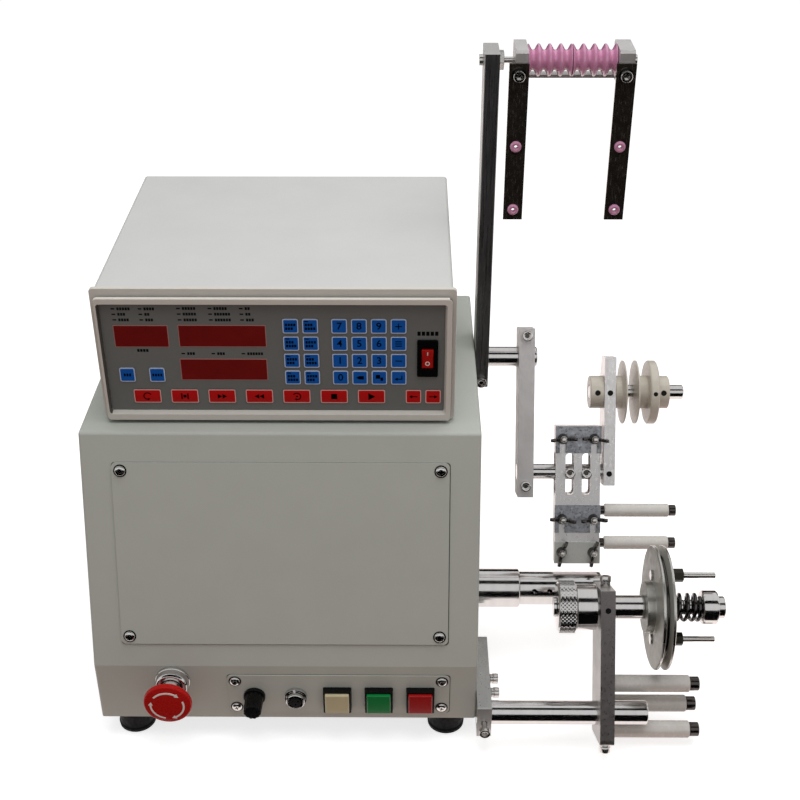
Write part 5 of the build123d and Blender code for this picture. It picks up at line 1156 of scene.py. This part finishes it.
class WINDER_OT_keys(WinderOperator):
    """Finish the three square lamp keys"""

    bl_idname = "winder.keys"
    bl_label = "Square Keys"

    def execute(self, context):
        dressed_group({"reset_key": ("cream_plastic", 0.7), "start_key": ("green_plastic", 0.7),
                       "halt_key": ("scarlet_plastic", 0.7)})
        return {"FINISHED"}


class WINDER_OT_stop_button(WinderOperator):
    """Build the emergency stop: collar, mushroom head and its three turning arrows"""

    bl_idname = "winder.stop_button"
    bl_label = "Stop Button"

    def execute(self, context):
        place = pointing(at(*STOP_PLACE), TO_FRONT)
        collar = ring_stack(rounded([(0.0, 14.1), (0.8, 14.5), (3.0, 14.5), (3.4, 13.9),
                                     (8.6, 13.9), (11.0, 12.6), (11.0, 9.4), (2.0, 9.4)], 0.5),
                            80, closed=True)
        piece_of("stop_collar_ring", [(collar, place)], "cabinet", "turned_rod",
                 nodes=["stop_collar"])
        head = ring_stack(rounded([(9.0, 8.8), (17.2, 8.8), (20.0, 10.5), (24.4, 16.6),
                                   (25.4, 19.2), (26.6, 19.95), (29.0, 19.95), (30.4, 18.9),
                                   (31.4, 13.0), (32.0, 5.0), (32.0, 0)], 0.7), 96)
        cap = piece_of("stop_head_cap", [(head, place)], "stop_head", "red_plastic",
                       nodes=["stop_button"])
        second_finish(cap, "plated_screw", lambda middle, outward: middle.y > STOP_HEAD_BACK)
        on_head = place @ Matrix.Translation((0, 0, 30.3 * MM))
        arrows = [(slab(outline, 1.3), on_head)
                  for turn in (0.35, 0.35 + 2 * pi / 3, 0.35 + 4 * pi / 3)
                  for outline in curved_arrow(13.6, 1.5, turn, 1.45, -1)]
        piece_of("stop_arrows", arrows, "stop_head", "white_ink")
        return {"FINISHED"}


def bezel_step_in_shade(middle, outward):
    """Floor of the step round the panel, and its walls that face down or to the right, which take
    painted shade.
    """
    if BEZEL_FLOOR_Y[0] < middle.y < BEZEL_FLOOR_Y[1]:
        return True
    return (BEZEL_WALL_Y[0] < middle.y < BEZEL_WALL_Y[1]
            and (outward.z < -0.3 or outward.x > 0.3))


class WINDER_OT_control_box(WinderOperator):
    """Finish the control box and its frame"""

    bl_idname = "winder.control_box"
    bl_label = "Control Box"

    def execute(self, context):
        # The step round the panel takes a dark finish as painted shade.
        second_finish(dressed("box_bezel", "bezel_plastic", 0.3), "seam_shadow", bezel_step_in_shade)
        dressed_group({"box_case": ("box_paint", 0.3), "box_panel": ("panel_film", 0),
                       "display_windows": ("dark_window", 0.12),
                       "power_rocker": ("red_plastic", 0.4)})
        return {"FINISHED"}


def panel_seat(x, z, rise):
    """Seat a rise in mm in front of the panel's film."""
    return pointing(at(x, PANEL_FACE_Y - rise, z), TO_FRONT)


def key_field(name, places, width, height, corner, rise, thickness, finish):
    """Raised pads of one size on the panel."""
    sizes = {"Width": width, "Height": height, "Corner": corner, "Thickness": thickness}
    grown(name, "key_field", {label: size * MM for label, size in sizes.items()},
          [panel_seat(x, z, rise) for x, z in places], "cabinet", finish, angle=RELIEF_SHARP)


class WINDER_OT_keypad(WinderOperator):
    """Set the keypad, the command keys and the red keys with their pale borders"""

    bl_idname = "winder.keypad"
    bl_label = "Keypad"

    def execute(self, context):
        rise = self.sizes.key_relief / MM
        blue = [(x, z) for x in KEYPAD_X + COMMAND_X for z in KEY_Z] + SIDE_KEYS
        for name, places, width, height, pad, border in (
                ("blue_keys", blue, 12.3, 12.6, "blue_key", "pale_border"),
                ("red_keys", RED_KEYS, 21.8, 12.4, "red_key", "rose_border"),
                ("jog_keys", JOG_KEYS, 12.4, 12.4, "red_key", "rose_border")):
            key_field(f"{name}_borders", places, width, height, 1.5, 0, rise - 0.08, border)
            key_field(name, places, width - 1.7, height - 1.7, 0.9, rise - 0.2, 0.2, pad)
        for name, place, width in WINDOWS:
            key_field(f"{name}_border", [place], width + 1.4, 19.4, 0.8, 0, 0.16, "window_seal")
        return {"FINISHED"}


def figure(text, size):
    """Flat raised figure, its middle at the origin."""
    curve = bpy.data.curves.new("figure", "FONT")
    curve.body = text
    curve.size = size
    curve.extrude = 0.03
    curve.offset = 0.014 * size
    curve.align_x = "CENTER"
    curve.align_y = "CENTER"
    holder = new_object("figure", curve)
    mesh = evaluated_mesh(holder)
    shape = bmesh.new()
    shape.from_mesh(mesh)
    bpy.data.objects.remove(holder)
    bpy.data.curves.remove(curve)
    bpy.data.meshes.remove(mesh)
    return shape


def bar(x, y, width, height):
    return [(x - width / 2, y - height / 2), (x + width / 2, y - height / 2),
            (x + width / 2, y + height / 2), (x - width / 2, y + height / 2)]


def bars(count, start, y, pitch, width, height):
    """Row of bars, such as printed letters or the marks of a key."""
    return [bar(start + pitch * i, y, width, height) for i in range(count)]


def arrowhead(x, y, size, way):
    return [(x - way * size / 2, y - size * 0.6), (x + way * size / 2, y),
            (x - way * size / 2, y + size * 0.6)][::way]


def arc_of(radius, angles):
    return [(radius * cos(angle), radius * sin(angle)) for angle in angles]


def curved_arrow(radius, width, start, sweep, way=1):
    """Outlines of an arrow bent round the origin: its arc and its head."""
    angles = [start + way * sweep * step / 14 for step in range(15)]
    arc = arc_of(radius + width / 2, angles) + arc_of(radius - width / 2, angles[::-1])
    end = angles[-1:]
    tip = (arc_of(radius - width * 1.3, end) + arc_of(radius + width * 1.3, end)
           + arc_of(radius, [end[0] + way * 2.2 * width / radius]))
    return [arc[::way], tip[::way]]


SYMBOLS = (
    curved_arrow(3.0, 0.9, 0.5, 4.2),
    [bar(-2.4, 0, 1.1, 5.4), bar(2.4, 0, 1.1, 5.4), bar(0, 0, 2.4, 2.4)],
    [arrowhead(-1.8, 0, 3.6, 1), arrowhead(2.0, 0, 3.6, 1)],
    [arrowhead(-2.0, 0, 3.6, -1), arrowhead(1.8, 0, 3.6, -1)],
    curved_arrow(3.0, 0.9, 2.6, 4.2, -1) + [bar(0, 0, 1.4, 1.4)],
    [bar(0, 0, 4.8, 4.8)],
    [arrowhead(0.2, 0, 5.4, 1)],
)


# Marks of the keypad's other keys, by (column, row).
KEY_MARKS = {
    (3, 0): [bar(0, 0, 5.2, 0.8), bar(0, 0, 0.8, 5.2)],
    (3, 1): [bar(0, y, 5.2, 0.8) for y in (-1.9, 0, 1.9)],
    (3, 2): [bar(0, 0, 5.0, 0.8)],
    (3, 3): [bar(0.6, -1.2, 4.6, 0.8), bar(2.5, 0.4, 0.8, 3.2), arrowhead(-2.1, -1.2, 2.4, -1)],
    (1, 3): [arrowhead(-1.6, 0, 3.0, -1), bar(1.4, 0, 3.2, 3.0)],
    (2, 3): [bar(-1.1, 0.9, 3.4, 3.4), bar(1.9, -1.2, 2.0, 3.0)],
}
INK = 0.06                          # thickness of printed marks


class WINDER_OT_panel_marks(WinderOperator):
    """Print the figures, the key symbols and the lamp rows of the panel"""

    bl_idname = "winder.panel_marks"
    bl_label = "Panel Marks"

    def execute(self, context):
        on_key = self.sizes.key_relief / MM
        shapes = []

        def print_at(x, z, outlines, rise=on_key):
            seat = panel_seat(x, z, rise)
            shapes.extend((slab(outline, INK), seat) for outline in outlines)

        for index, text in enumerate("7894561230"):
            seat = panel_seat(KEYPAD_X[index % 3], KEY_Z[index // 3], on_key)
            shapes.append((figure(text, 8.4), seat))
        for symbol, (x, z) in zip(SYMBOLS, RED_KEYS):
            print_at(x, z, symbol)
        for way, (x, z) in zip((-1, 1), JOG_KEYS):
            print_at(x, z, [bar(-way * 1.0, 0, 4.4, 0.8), arrowhead(way * 2.2, 0, 2.6, way)])
        for (column, row), mark in KEY_MARKS.items():
            print_at(KEYPAD_X[column], KEY_Z[row], mark)
        for column, x in enumerate(COMMAND_X):
            for row, z in enumerate(KEY_Z):
                odd = (row + column) % 2
                lamp = [bar(-2.8, 4.2, 3.2, 0.8)] if row + column else []
                print_at(x, z, bars(4 - odd, -3.2, 1.3, 2.1, 1.6, 2.2)
                         + bars(3 + odd, -3.2, -2.0, 2.1, 1.6, 2.2) + lamp)
        for (x, z), count in zip(SIDE_KEYS, (3, 4)):
            print_at(x, z, bars(count, -(count - 1) * 1.05, 0, 2.1, 1.4, 2.4))
        for x, z, count in LAMPS:
            print_at(x + 1.3, z, [bar(0, 0, 2.8, 1.1)], 0)
            print_at(x + 5.2, z, bars(count, 0, 0, 2.1, 1.6, 2.3), 0)
        print_at(-108.0, 341.9, bars(4, 0, 0, 2.3, 1.8, 2.4), 0)
        print_at(110.0, 357.2, bars(5, 0, 0, 3.4, 2.5, 3.6), 0)
        piece_of("panel_marks", shapes, "cabinet", "black_ink", angle=RELIEF_SHARP)

        x, z = ROCKER_PLACE
        upper, lower = (on_front("power_rocker", x, z + shift) for shift in (4.6, -4.9))
        angles = [step / 12 * pi for step in range(25)]
        ring = arc_of(1.9, angles) + arc_of(1.15, angles[::-1])
        signs = [(slab(bar(0, 0, 0.8, 3.6), INK), upper)]
        signs += [(slab(half, INK), lower) for half in (ring[:13] + ring[-13:], ring[12:38])]
        piece_of("rocker_signs", signs, "mains_rocker", "white_ink")
        return {"FINISHED"}


class WINDER_OT_spindle(WinderOperator):
    """Finish the spindle with its housing, and the lower rod"""

    bl_idname = "winder.spindle"
    bl_label = "Spindle and Lower Rod"

    def execute(self, context):
        dressed_group({"spindle_housing": ("turned_spindle", 0.3),
                       "spindle_shaft": ("turned_spindle", 0.3), "lower_rod": ("turned_rod", 0.4)})
        return {"FINISHED"}


class WINDER_OT_traverse(WinderOperator):
    """Finish the traverse shaft, its tower bar, the link plate and the guide rod"""

    bl_idname = "winder.traverse"
    bl_label = "Traverse"

    def execute(self, context):
        dressed_group({"traverse_shaft": ("turned_traverse", 0.3),
                       "link_plate": ("grey_aluminium", 0.5), "guide_rod": ("turned_guide", 0.3)})
        tower = dressed("tower_bar", "pale_steel", 0.5)
        # Front faces take a darker copy of the steel: real streaks, with painted shade of dark
        # reflections.
        second_finish(tower, "tower_steel", lambda middle, outward: outward.y < -0.5)
        return {"FINISHED"}


class WINDER_OT_guide_block(WinderOperator):
    """Finish the guide block and set its plates, screws and wing nuts"""

    bl_idname = "winder.guide_block"
    bl_label = "Guide Block"

    def execute(self, context):
        front = face_of(GUIDE_LEAN)

        def on_guide(x, across, along, turn):
            return pointing(on_plate(x, GUIDE_AXIS, GUIDE_LEAN, across, along), front, turn)

        slots = [(slab(rounded_rectangle(7.5, 37.9, 3.7, 8), 24),
                  on_guide(x, across=12, along=-1, turn=X_AXIS)) for x in GUIDE_SLOT_X]
        dressed("guide_block", "aluminium", 0.5, cuts=slots)
        second_finish(
            dressed("adjuster_plates", "galvanised", 0.25), "pale_plate", lambda middle, outward: (
                (middle.y - GUIDE_AXIS[0]) * sin(GUIDE_LEAN)
                + (middle.z - GUIDE_AXIS[1]) * cos(GUIDE_LEAN)) < PALE_PLATE_TOP)

        caps = [pointing(at(*TOWER_SCREW), TO_FRONT, (0.7, 0, 0.7))]
        caps += [pointing(on_plate(LINK_SCREW_X, TRAVERSE_AXIS, LINK_LEAN, across=-15, along=along),
                          face_of(LINK_LEAN), (0.8, 0, 0.5)) for along in LINK_SCREW_ROWS]
        caps += [on_guide(x, across=-8, along=0, turn=(0.9, 0, 0.3)) for x in GUIDE_SLOT_X]
        set_pieces("traverse_screws", cap_screw(), caps, "traverse", "plated_screw",
                   nodes=["traverse_fasteners"])
        # Dark hexagons at the bottom of the sockets are painted shade.
        set_pieces("traverse_screw_sockets", socket_shade(), caps, "traverse", "smoked_chrome")

        seats = [on_guide(x, across=-10, along=along, turn=aslant(turn))
                 for along, turns in WING_NUT_ROWS for x, turn in zip(WING_NUT_X, turns)]
        nuts = set_pieces("wing_nuts", wing_nut(), seats, "traverse", "smoked_chrome", soft=0.5)
        hubs = [seat.translation / MM + SPINDLE_NOSE for seat in seats]
        second_finish(nuts, "plated_screw", lambda middle, outward: any(
            ((middle - hub).cross(front)).length < WING_HUB for hub in hubs))

        for name, along in GUIDE_PINS.items():
            pin = ring_stack([(-0.1, 4.2), (4.6, 4.2), (4.6, 2.95), (63.3, 2.95), (63.3, 4.7),
                              (63.7, 5), (68.9, 5), (69.3, 4.6), (69.3, 2.7), (68.3, 2.5)], 48)
            axis = leaning(GUIDE_AXIS, GUIDE_LEAN, 0, along)
            piece_of(f"{name}_guide_pin", [(pin, along_x(PIN_X, axis))], "traverse",
                     "smoked_chrome")
        return {"FINISHED"}


class WINDER_OT_pulley_arm(WinderOperator):
    """Finish the pulley arm, the wire discs, their collars and their shaft"""

    bl_idname = "winder.pulley_arm"
    bl_label = "Pulley Arm and Discs"

    def execute(self, context):
        up, front = up_along(ARM_LEAN), face_of(ARM_LEAN)
        ends = [(on_plate(ARM_X, GUIDE_AXIS, ARM_LEAN, 0, 90), up, 10.0),
                (on_plate(ARM_X, GUIDE_AXIS, ARM_LEAN, 0, -12), -up, -2.5)]
        dressed("pulley_arm", "aluminium", 0.6, longer=ends)
        places = [on_plate(ARM_SCREW_X, GUIDE_AXIS, ARM_LEAN, across=-14.4, along=along)
                  for along in ARM_SCREW_ROWS]
        places += [on_plate(x, PULLEY_AXIS, ARM_LEAN, across=-14.0, along=0) for x in COLLAR_X]
        set_pieces("arm_set_screws", set_screw(), [pointing(place, front) for place in places],
                   "traverse", "black_plastic")
        place = on_plate(DISC_SCREW_X, PULLEY_AXIS, ARM_LEAN, across=-27.6, along=0)
        set_pieces("disc_set_screw", set_screw(1.95), [pointing(place, front)], "right_disc",
                   "black_plastic")
        dressed_group({"pulley_shaft": ("turned_pulley", 0.4),
                       "shaft_collars": ("cream_enamel", 0.4),
                       "left_wire_disc": ("cream_enamel", 0.3),
                       "right_wire_disc": ("cream_enamel", 0.3)})
        return {"FINISHED"}


def grooved(length, grooves):
    """Profile of a roller with wire grooves side by side."""
    pitch = length / grooves
    profile = [(0, 2.6), (0, 11.6)]
    for low in [groove * pitch for groove in range(grooves)]:
        profile += [(low + 0.35, 12.5), (low + 0.75, 12.4), (low + 1.6, 11.2),
                    (low + pitch / 2 - 1.1, 8.15), (low + pitch / 2, 7.75),
                    (low + pitch / 2 + 1.1, 8.15), (low + pitch - 1.6, 11.2),
                    (low + pitch - 0.75, 12.4), (low + pitch - 0.35, 12.5)]
    return profile + [(length, 11.6), (length, 2.6)]


class WINDER_OT_swing_guide(WinderOperator):
    """Build the swinging wire guide: rollers, frame, legs and eyelets"""

    bl_idname = "winder.swing_guide"
    bl_label = "Swinging Guide"

    def execute(self, context):
        dressed("swing_axle", "plated_screw", 0.3)
        opening = slab(rounded_rectangle(70.2, 4.8, 0.2, 2), 25)
        dressed("swing_frame", "grey_aluminium", 0.5,
                cuts=[(opening, pointing(at(229.7, 212, 514.2), TO_FRONT))])
        legs = dressed("swing_legs", "black_chrome", 0.7)
        # Front bevels of the legs turn lighter: partly wear, partly painted highlight.
        second_finish(legs, "worn_edge", lambda middle, outward:
                      outward.y < -0.2 and abs(outward.x) > 0.25)
        # The screw heads in front are plated; the legs' sides below the shoulder take the plated
        # finish as painted highlight, partly wear.
        second_finish(legs, "plated_screw", lambda middle, outward: middle.y < LEG_SCREW_BACK_Y or
                      (abs(outward.x) > 0.7 and middle.z < LEG_SHOULDER_Z))
        heads = [pointing(at(x, LEG_FRONT_Y, LEG_SCREW_Z), TO_FRONT) for x in LEG_X]
        set_pieces("leg_screw_shades", flat_ring(5.6, 3.6), heads, "swing_arm", "black_plastic")
        for side, start in ROLLERS.items():
            round_work(f"{side}_grooved_roller", grooved(ROLLER_LENGTH, GROOVES), start, SWING_AXIS,
                       f"{side}_swing_roller", "pink_ceramic", nodes=[f"{side}_roller"])
        seats = [pointing(at(x, LEG_FRONT_Y, z), TO_FRONT) for x in LEG_X for z in EYELET_Z]
        set_pieces("leg_eyelets", eyelet(), seats, "swing_arm", "pink_ceramic", nodes=["eyelets"])
        return {"FINISHED"}


class WINDER_OT_stand(WinderOperator):
    """Finish the tension stand with its screws and its pins"""

    bl_idname = "winder.stand"
    bl_label = "Tension Stand"

    def execute(self, context):
        up = up_along(STAND_LEAN)

        def on_stand(across, along):
            return on_plate(STAND_X, ROD_AXIS, STAND_LEAN, across, along)

        plate = dressed("stand_plate", "pale_steel", 0.5,
                        longer=[(on_stand(0, 107), up, -2.5), (on_stand(0, -20), -up, 1.3)])
        # Front faces take a darker copy of the steel: real streaks, with painted shade of dark
        # reflections.
        second_finish(plate, "dark_steel", lambda middle, outward: outward.y < -0.5)
        dressed("tension_shaft", "turned_tension", 0.3)
        shapes = []
        for seat, rise in ((pointing(on_stand(0, 106.5), up), 5.0),
                           (pointing(on_stand(-5, -24.5), -up), 3.0)):
            shapes.append((shank(rise + 0.1), seat))
            shapes.append((cap_screw(), seat @ Matrix.Translation((0, 0, rise * MM))))
        for axis in STAND_PINS:
            pin = ring_stack([(-0.1, 3), (68.4, 3), (68.4, 5.6), (68.8, 6), (75.8, 6), (76.3, 5.5),
                              (76.3, 3.0), (75.2, 2.8), (75.2, 0.4)], 48)
            shapes.append((pin, along_x(PIN_X, axis)))
        for axis in STAND_PINS[:2]:
            end = ring_stack([(-0.1, 1.6), (0.25, 1.5), (0.35, 1.2)], 24)
            shapes.append((end, pointing(at(PIN_END_X, *axis), -X_AXIS)))
        screws = piece_of("stand_screws", shapes, "stand", "plated_screw",
                          nodes=["stand_fasteners"])
        second_finish(screws, "smoked_chrome", lambda middle, outward: middle.x > PIN_HEAD_X)
        seat = pointing(on_stand(across=-17.4, along=90), face_of(STAND_LEAN))
        set_pieces("stand_set_screw", set_screw(), [seat], "stand", "black_plastic")
        return {"FINISHED"}


class WINDER_OT_sleeves(WinderOperator):
    """Build the white turning sleeves"""

    bl_idname = "winder.sleeves"
    bl_label = "Sleeves"

    def execute(self, context):
        for level in ("upper", "lower"):
            dressed(f"{level}_guide_sleeve", "white_sleeve", 0.6)
        for level, axis in zip(("upper", "middle", "lower"), STAND_PINS):
            dressed(f"{level}_stand_sleeve", "white_sleeve", 0.6,
                    longer=[(at(300, *axis), X_AXIS, 14.0)])
        return {"FINISHED"}


def worn_on_wheel(middle, outward):
    """Edges, the back of the web and the rim, where the coat is rubbed."""
    reach = reach_from(TENSION_AXIS, middle)
    return abs(outward.x) < 0.85 and (
        reach > WHEEL_RIM or (middle.x < WHEEL_WEB_X and reach > WHEEL_HUB))


def bright_ring(middle, outward):
    """Turned step on the wheel's face."""
    return (abs(outward.x) < 0.9 and middle.x > WHEEL_RING_X
            and WHEEL_RING[0] < reach_from(TENSION_AXIS, middle) < WHEEL_RING[1])


class WINDER_OT_brake(WinderOperator):
    """Build the knurled knob, the brake wheel, its studs, the spring and its nut"""

    bl_idname = "winder.brake"
    bl_label = "Brake Wheel"

    def execute(self, context):
        grown("knob_knurl", "knurled_band",
              {"Radius": 22 * MM, "Length": 13.2 * MM, "Teeth": 42, "Pitch": 3.3 * MM,
               "Depth": self.sizes.knurl_depth},
              [along_x(KNURL_X, TENSION_AXIS)], "knob", "turned_tension",
              nodes=["tension_knob"], angle=RELIEF_SHARP)
        round_work("knob_drum", [(0, 6.05), (0, 19.6), (1.4, 21.0), (15.0, 21.0), (16, 19.25),
                                 (32.6, 19.25), (32.6, 6.05)], DRUM_X, TENSION_AXIS, "knob",
                   "turned_tension", edge=0.6)
        wheel = dressed("tension_wheel", "grey_wheel", 0.5)
        second_finish(wheel, "wheel_edge", worn_on_wheel)
        second_finish(wheel, "smoked_chrome", bright_ring)
        second_finish(dressed("wheel_studs", "plated_screw", 0.3), "dull_standoff",
                      lambda middle, outward: STANDOFF_X[0] < middle.x < STANDOFF_X[1])
        grown("brake_spring", "coil",
              {"Radius": 10.7 * MM, "Wire": 1.6 * MM, "Length": 26.2 * MM, "Turns": 5},
              [along_x(SPRING_X, TENSION_AXIS)], "stand", "spring_steel",
              nodes=["tension_spring"])
        grown("tension_thread", "threaded_rod",
              {"Radius": 6.5 * MM, "Length": 28.6 * MM, "Teeth": 1,
               "Pitch": self.sizes.thread_pitch, "Depth": 0.9 * MM},
              [along_x(THREAD_X, TENSION_AXIS)], "stand", "smoked_chrome",
              angle=RELIEF_SHARP)
        dressed("adjusting_nut", "turned_tension", 0.8)
        return {"FINISHED"}


GROUND = -0.0765                    # in metres, as all of the stage
SHEET = GROUND + 0.002
PAPER = (0.86, 0.86, 0.86)
# Cards that only reflections see, as (y, z) ends of sheets that run along X.
DARK_CARDS = [((-0.2, 1.48), (-0.72, 1.3)), ((-1.75, 0.62), (-1.75, SHEET)),
              ((-1.75, SHEET), (-0.16, SHEET)), ((2.4, SHEET), (1.9, 1.0))]
REACH = 3.0
LAMP_PLACE = (0.0, -0.1, 1.6)
LAMP_AIM = (-0.1, 0, 0.1)
CAMERA_PLACE = (-0.17291, -0.9123, 0.75797)
CAMERA_TURNS = ((0.515, "Z"), (58.514, "X"), (-0.126, "Z"))


def flat_sheet(name, ends, finish):
    """Stage sheets that run along X between pairs of (y, z) ends."""
    mesh = bpy.data.meshes.new(name)
    corners = [corner for low, high in ends
               for corner in ((-REACH, *low), (REACH, *low), (REACH, *high), (-REACH, *high))]
    mesh.from_pydata(corners, [], [tuple(range(4 * i, 4 * i + 4)) for i in range(len(ends))])
    mesh.materials.append(finish.material)
    sheet = new_object(name, mesh)
    return sheet


def ground_paper(stage):
    """Paper that the camera sees lit evenly, and that throws back warm light."""
    paper = Finish("ground_paper", PAPER, 0.9, specular_ior_level=0.0, emission_color=(1, 1, 1, 1))
    path = paper.tree.nodes.new("ShaderNodeLightPath").outputs
    shine = paper.mix(path["Is Glossy Ray"], 0, stage.mirrored)
    shine = paper.mix(path["Is Camera Ray"], shine, stage.glow)
    paper.link(shine, paper.shader.inputs["Emission Strength"])
    warm = paper.blend(path["Is Camera Ray"], (*stage.bounce, 1), (*PAPER, 1))
    return paper.link(warm, paper.shader.inputs["Base Color"])


def room_light(strength):
    """World that is white to the camera and in reflections, and dimmer as light."""
    world = bpy.data.worlds.new("room")
    world.use_nodes = True
    room = NodeWork(world.node_tree)
    room.tree.nodes.clear()
    path = room.tree.nodes.new("ShaderNodeLightPath").outputs
    seen = path["Is Camera Ray"]
    for label in ("Is Glossy Ray", "Is Transmission Ray"):
        seen = room.add("ShaderNodeMath", {0: seen, 1: path[label]}, operation="MAXIMUM")[0]
    soft, plain = (room.add("ShaderNodeBackground", {"Strength": level})[0]
                   for level in (strength, 1.0))
    room.add("ShaderNodeOutputWorld",
             {0: room.add("ShaderNodeMixShader", {0: seen, 1: soft, 2: plain})[0]})
    return world


class WINDER_OT_stage(WinderOperator):
    """Set the ground, the light and the camera"""

    bl_idname = "winder.stage"
    bl_label = "Stage"

    def execute(self, context):
        scene = context.scene
        stage = scene.winder_stage
        flat_sheet("ground", [((-REACH, GROUND), (REACH, GROUND))], ground_paper(stage))
        velvet = Finish("card_velvet", (0.004, 0.004, 0.004), 1.0, specular_ior_level=0.0)
        cards = flat_sheet("dark_cards", DARK_CARDS, velvet)
        for way in ("camera", "diffuse", "shadow", "transmission", "volume_scatter"):
            setattr(cards, f"visible_{way}", False)
        scene.world = room_light(stage.room)

        lamp = bpy.data.lights.new("overhead", "AREA")
        lamp.shape = "RECTANGLE"
        lamp.size = 1.5
        lamp.size_y = 1.1
        lamp.energy = stage.lamp
        hung = new_object("overhead", lamp)
        hung.visible_glossy = False
        hung.location = LAMP_PLACE
        hung.rotation_euler = (Vector(LAMP_AIM) - hung.location).to_track_quat("-Z", "Y").to_euler()

        camera = bpy.data.cameras.new("camera")
        camera.lens = 58.24
        camera.sensor_width = 36
        viewer = new_object("camera", camera)
        aim = Matrix.Translation(CAMERA_PLACE)
        for angle, axis in CAMERA_TURNS:
            aim = aim @ Matrix.Rotation(radians(angle), 4, axis)
        viewer.matrix_world = aim
        scene.camera = viewer
        scene.view_settings.view_transform = "Standard"
        return {"FINISHED"}


STEPS = (WINDER_OT_finishes, WINDER_OT_cabinet, WINDER_OT_feet, WINDER_OT_cabinet_screws,
         WINDER_OT_strip, WINDER_OT_keys, WINDER_OT_stop_button, WINDER_OT_control_box,
         WINDER_OT_keypad, WINDER_OT_panel_marks,
         WINDER_OT_spindle, WINDER_OT_traverse, WINDER_OT_guide_block, WINDER_OT_pulley_arm,
         WINDER_OT_swing_guide, WINDER_OT_stand, WINDER_OT_sleeves, WINDER_OT_brake,
         WINDER_OT_stage)


class WINDER_PT_sidebar(bpy.types.Panel):
    """Settings and steps of the winder"""

    bl_idname = "WINDER_PT_sidebar"
    bl_label = "Coil Winder"
    bl_space_type = "VIEW_3D"
    bl_region_type = "UI"
    bl_category = "Winder"

    def draw(self, context):
        scene = context.scene
        for title, group in (("Colours", scene.winder_colours), ("Sizes", scene.winder_sizes),
                             ("Stage", scene.winder_stage)):
            box = self.layout.box()
            box.label(text=title)
            for name in group.__annotations__:
                box.prop(group, name)
        column = self.layout.column(align=True)
        for step in STEPS:
            column.operator(step.bl_idname)


GROUPS = {"winder_colours": WinderColours, "winder_sizes": WinderSizes, "winder_stage": WinderStage}


def register():
    for kind in (*GROUPS.values(), *STEPS, WINDER_PT_sidebar):
        bpy.utils.register_class(kind)
    for name, group in GROUPS.items():
        setattr(bpy.types.Scene, name, bpy.props.PointerProperty(type=group))


def unregister():
    for name in GROUPS:
        delattr(bpy.types.Scene, name)
    for kind in reversed((*GROUPS.values(), *STEPS, WINDER_PT_sidebar)):
        bpy.utils.unregister_class(kind)


def main():
    register()
    for step in STEPS:
        family, action = step.bl_idname.split(".")
        getattr(getattr(bpy.ops, family), action)()
    bpy.context.view_layer.update()


if __name__ == "__main__":
    main()
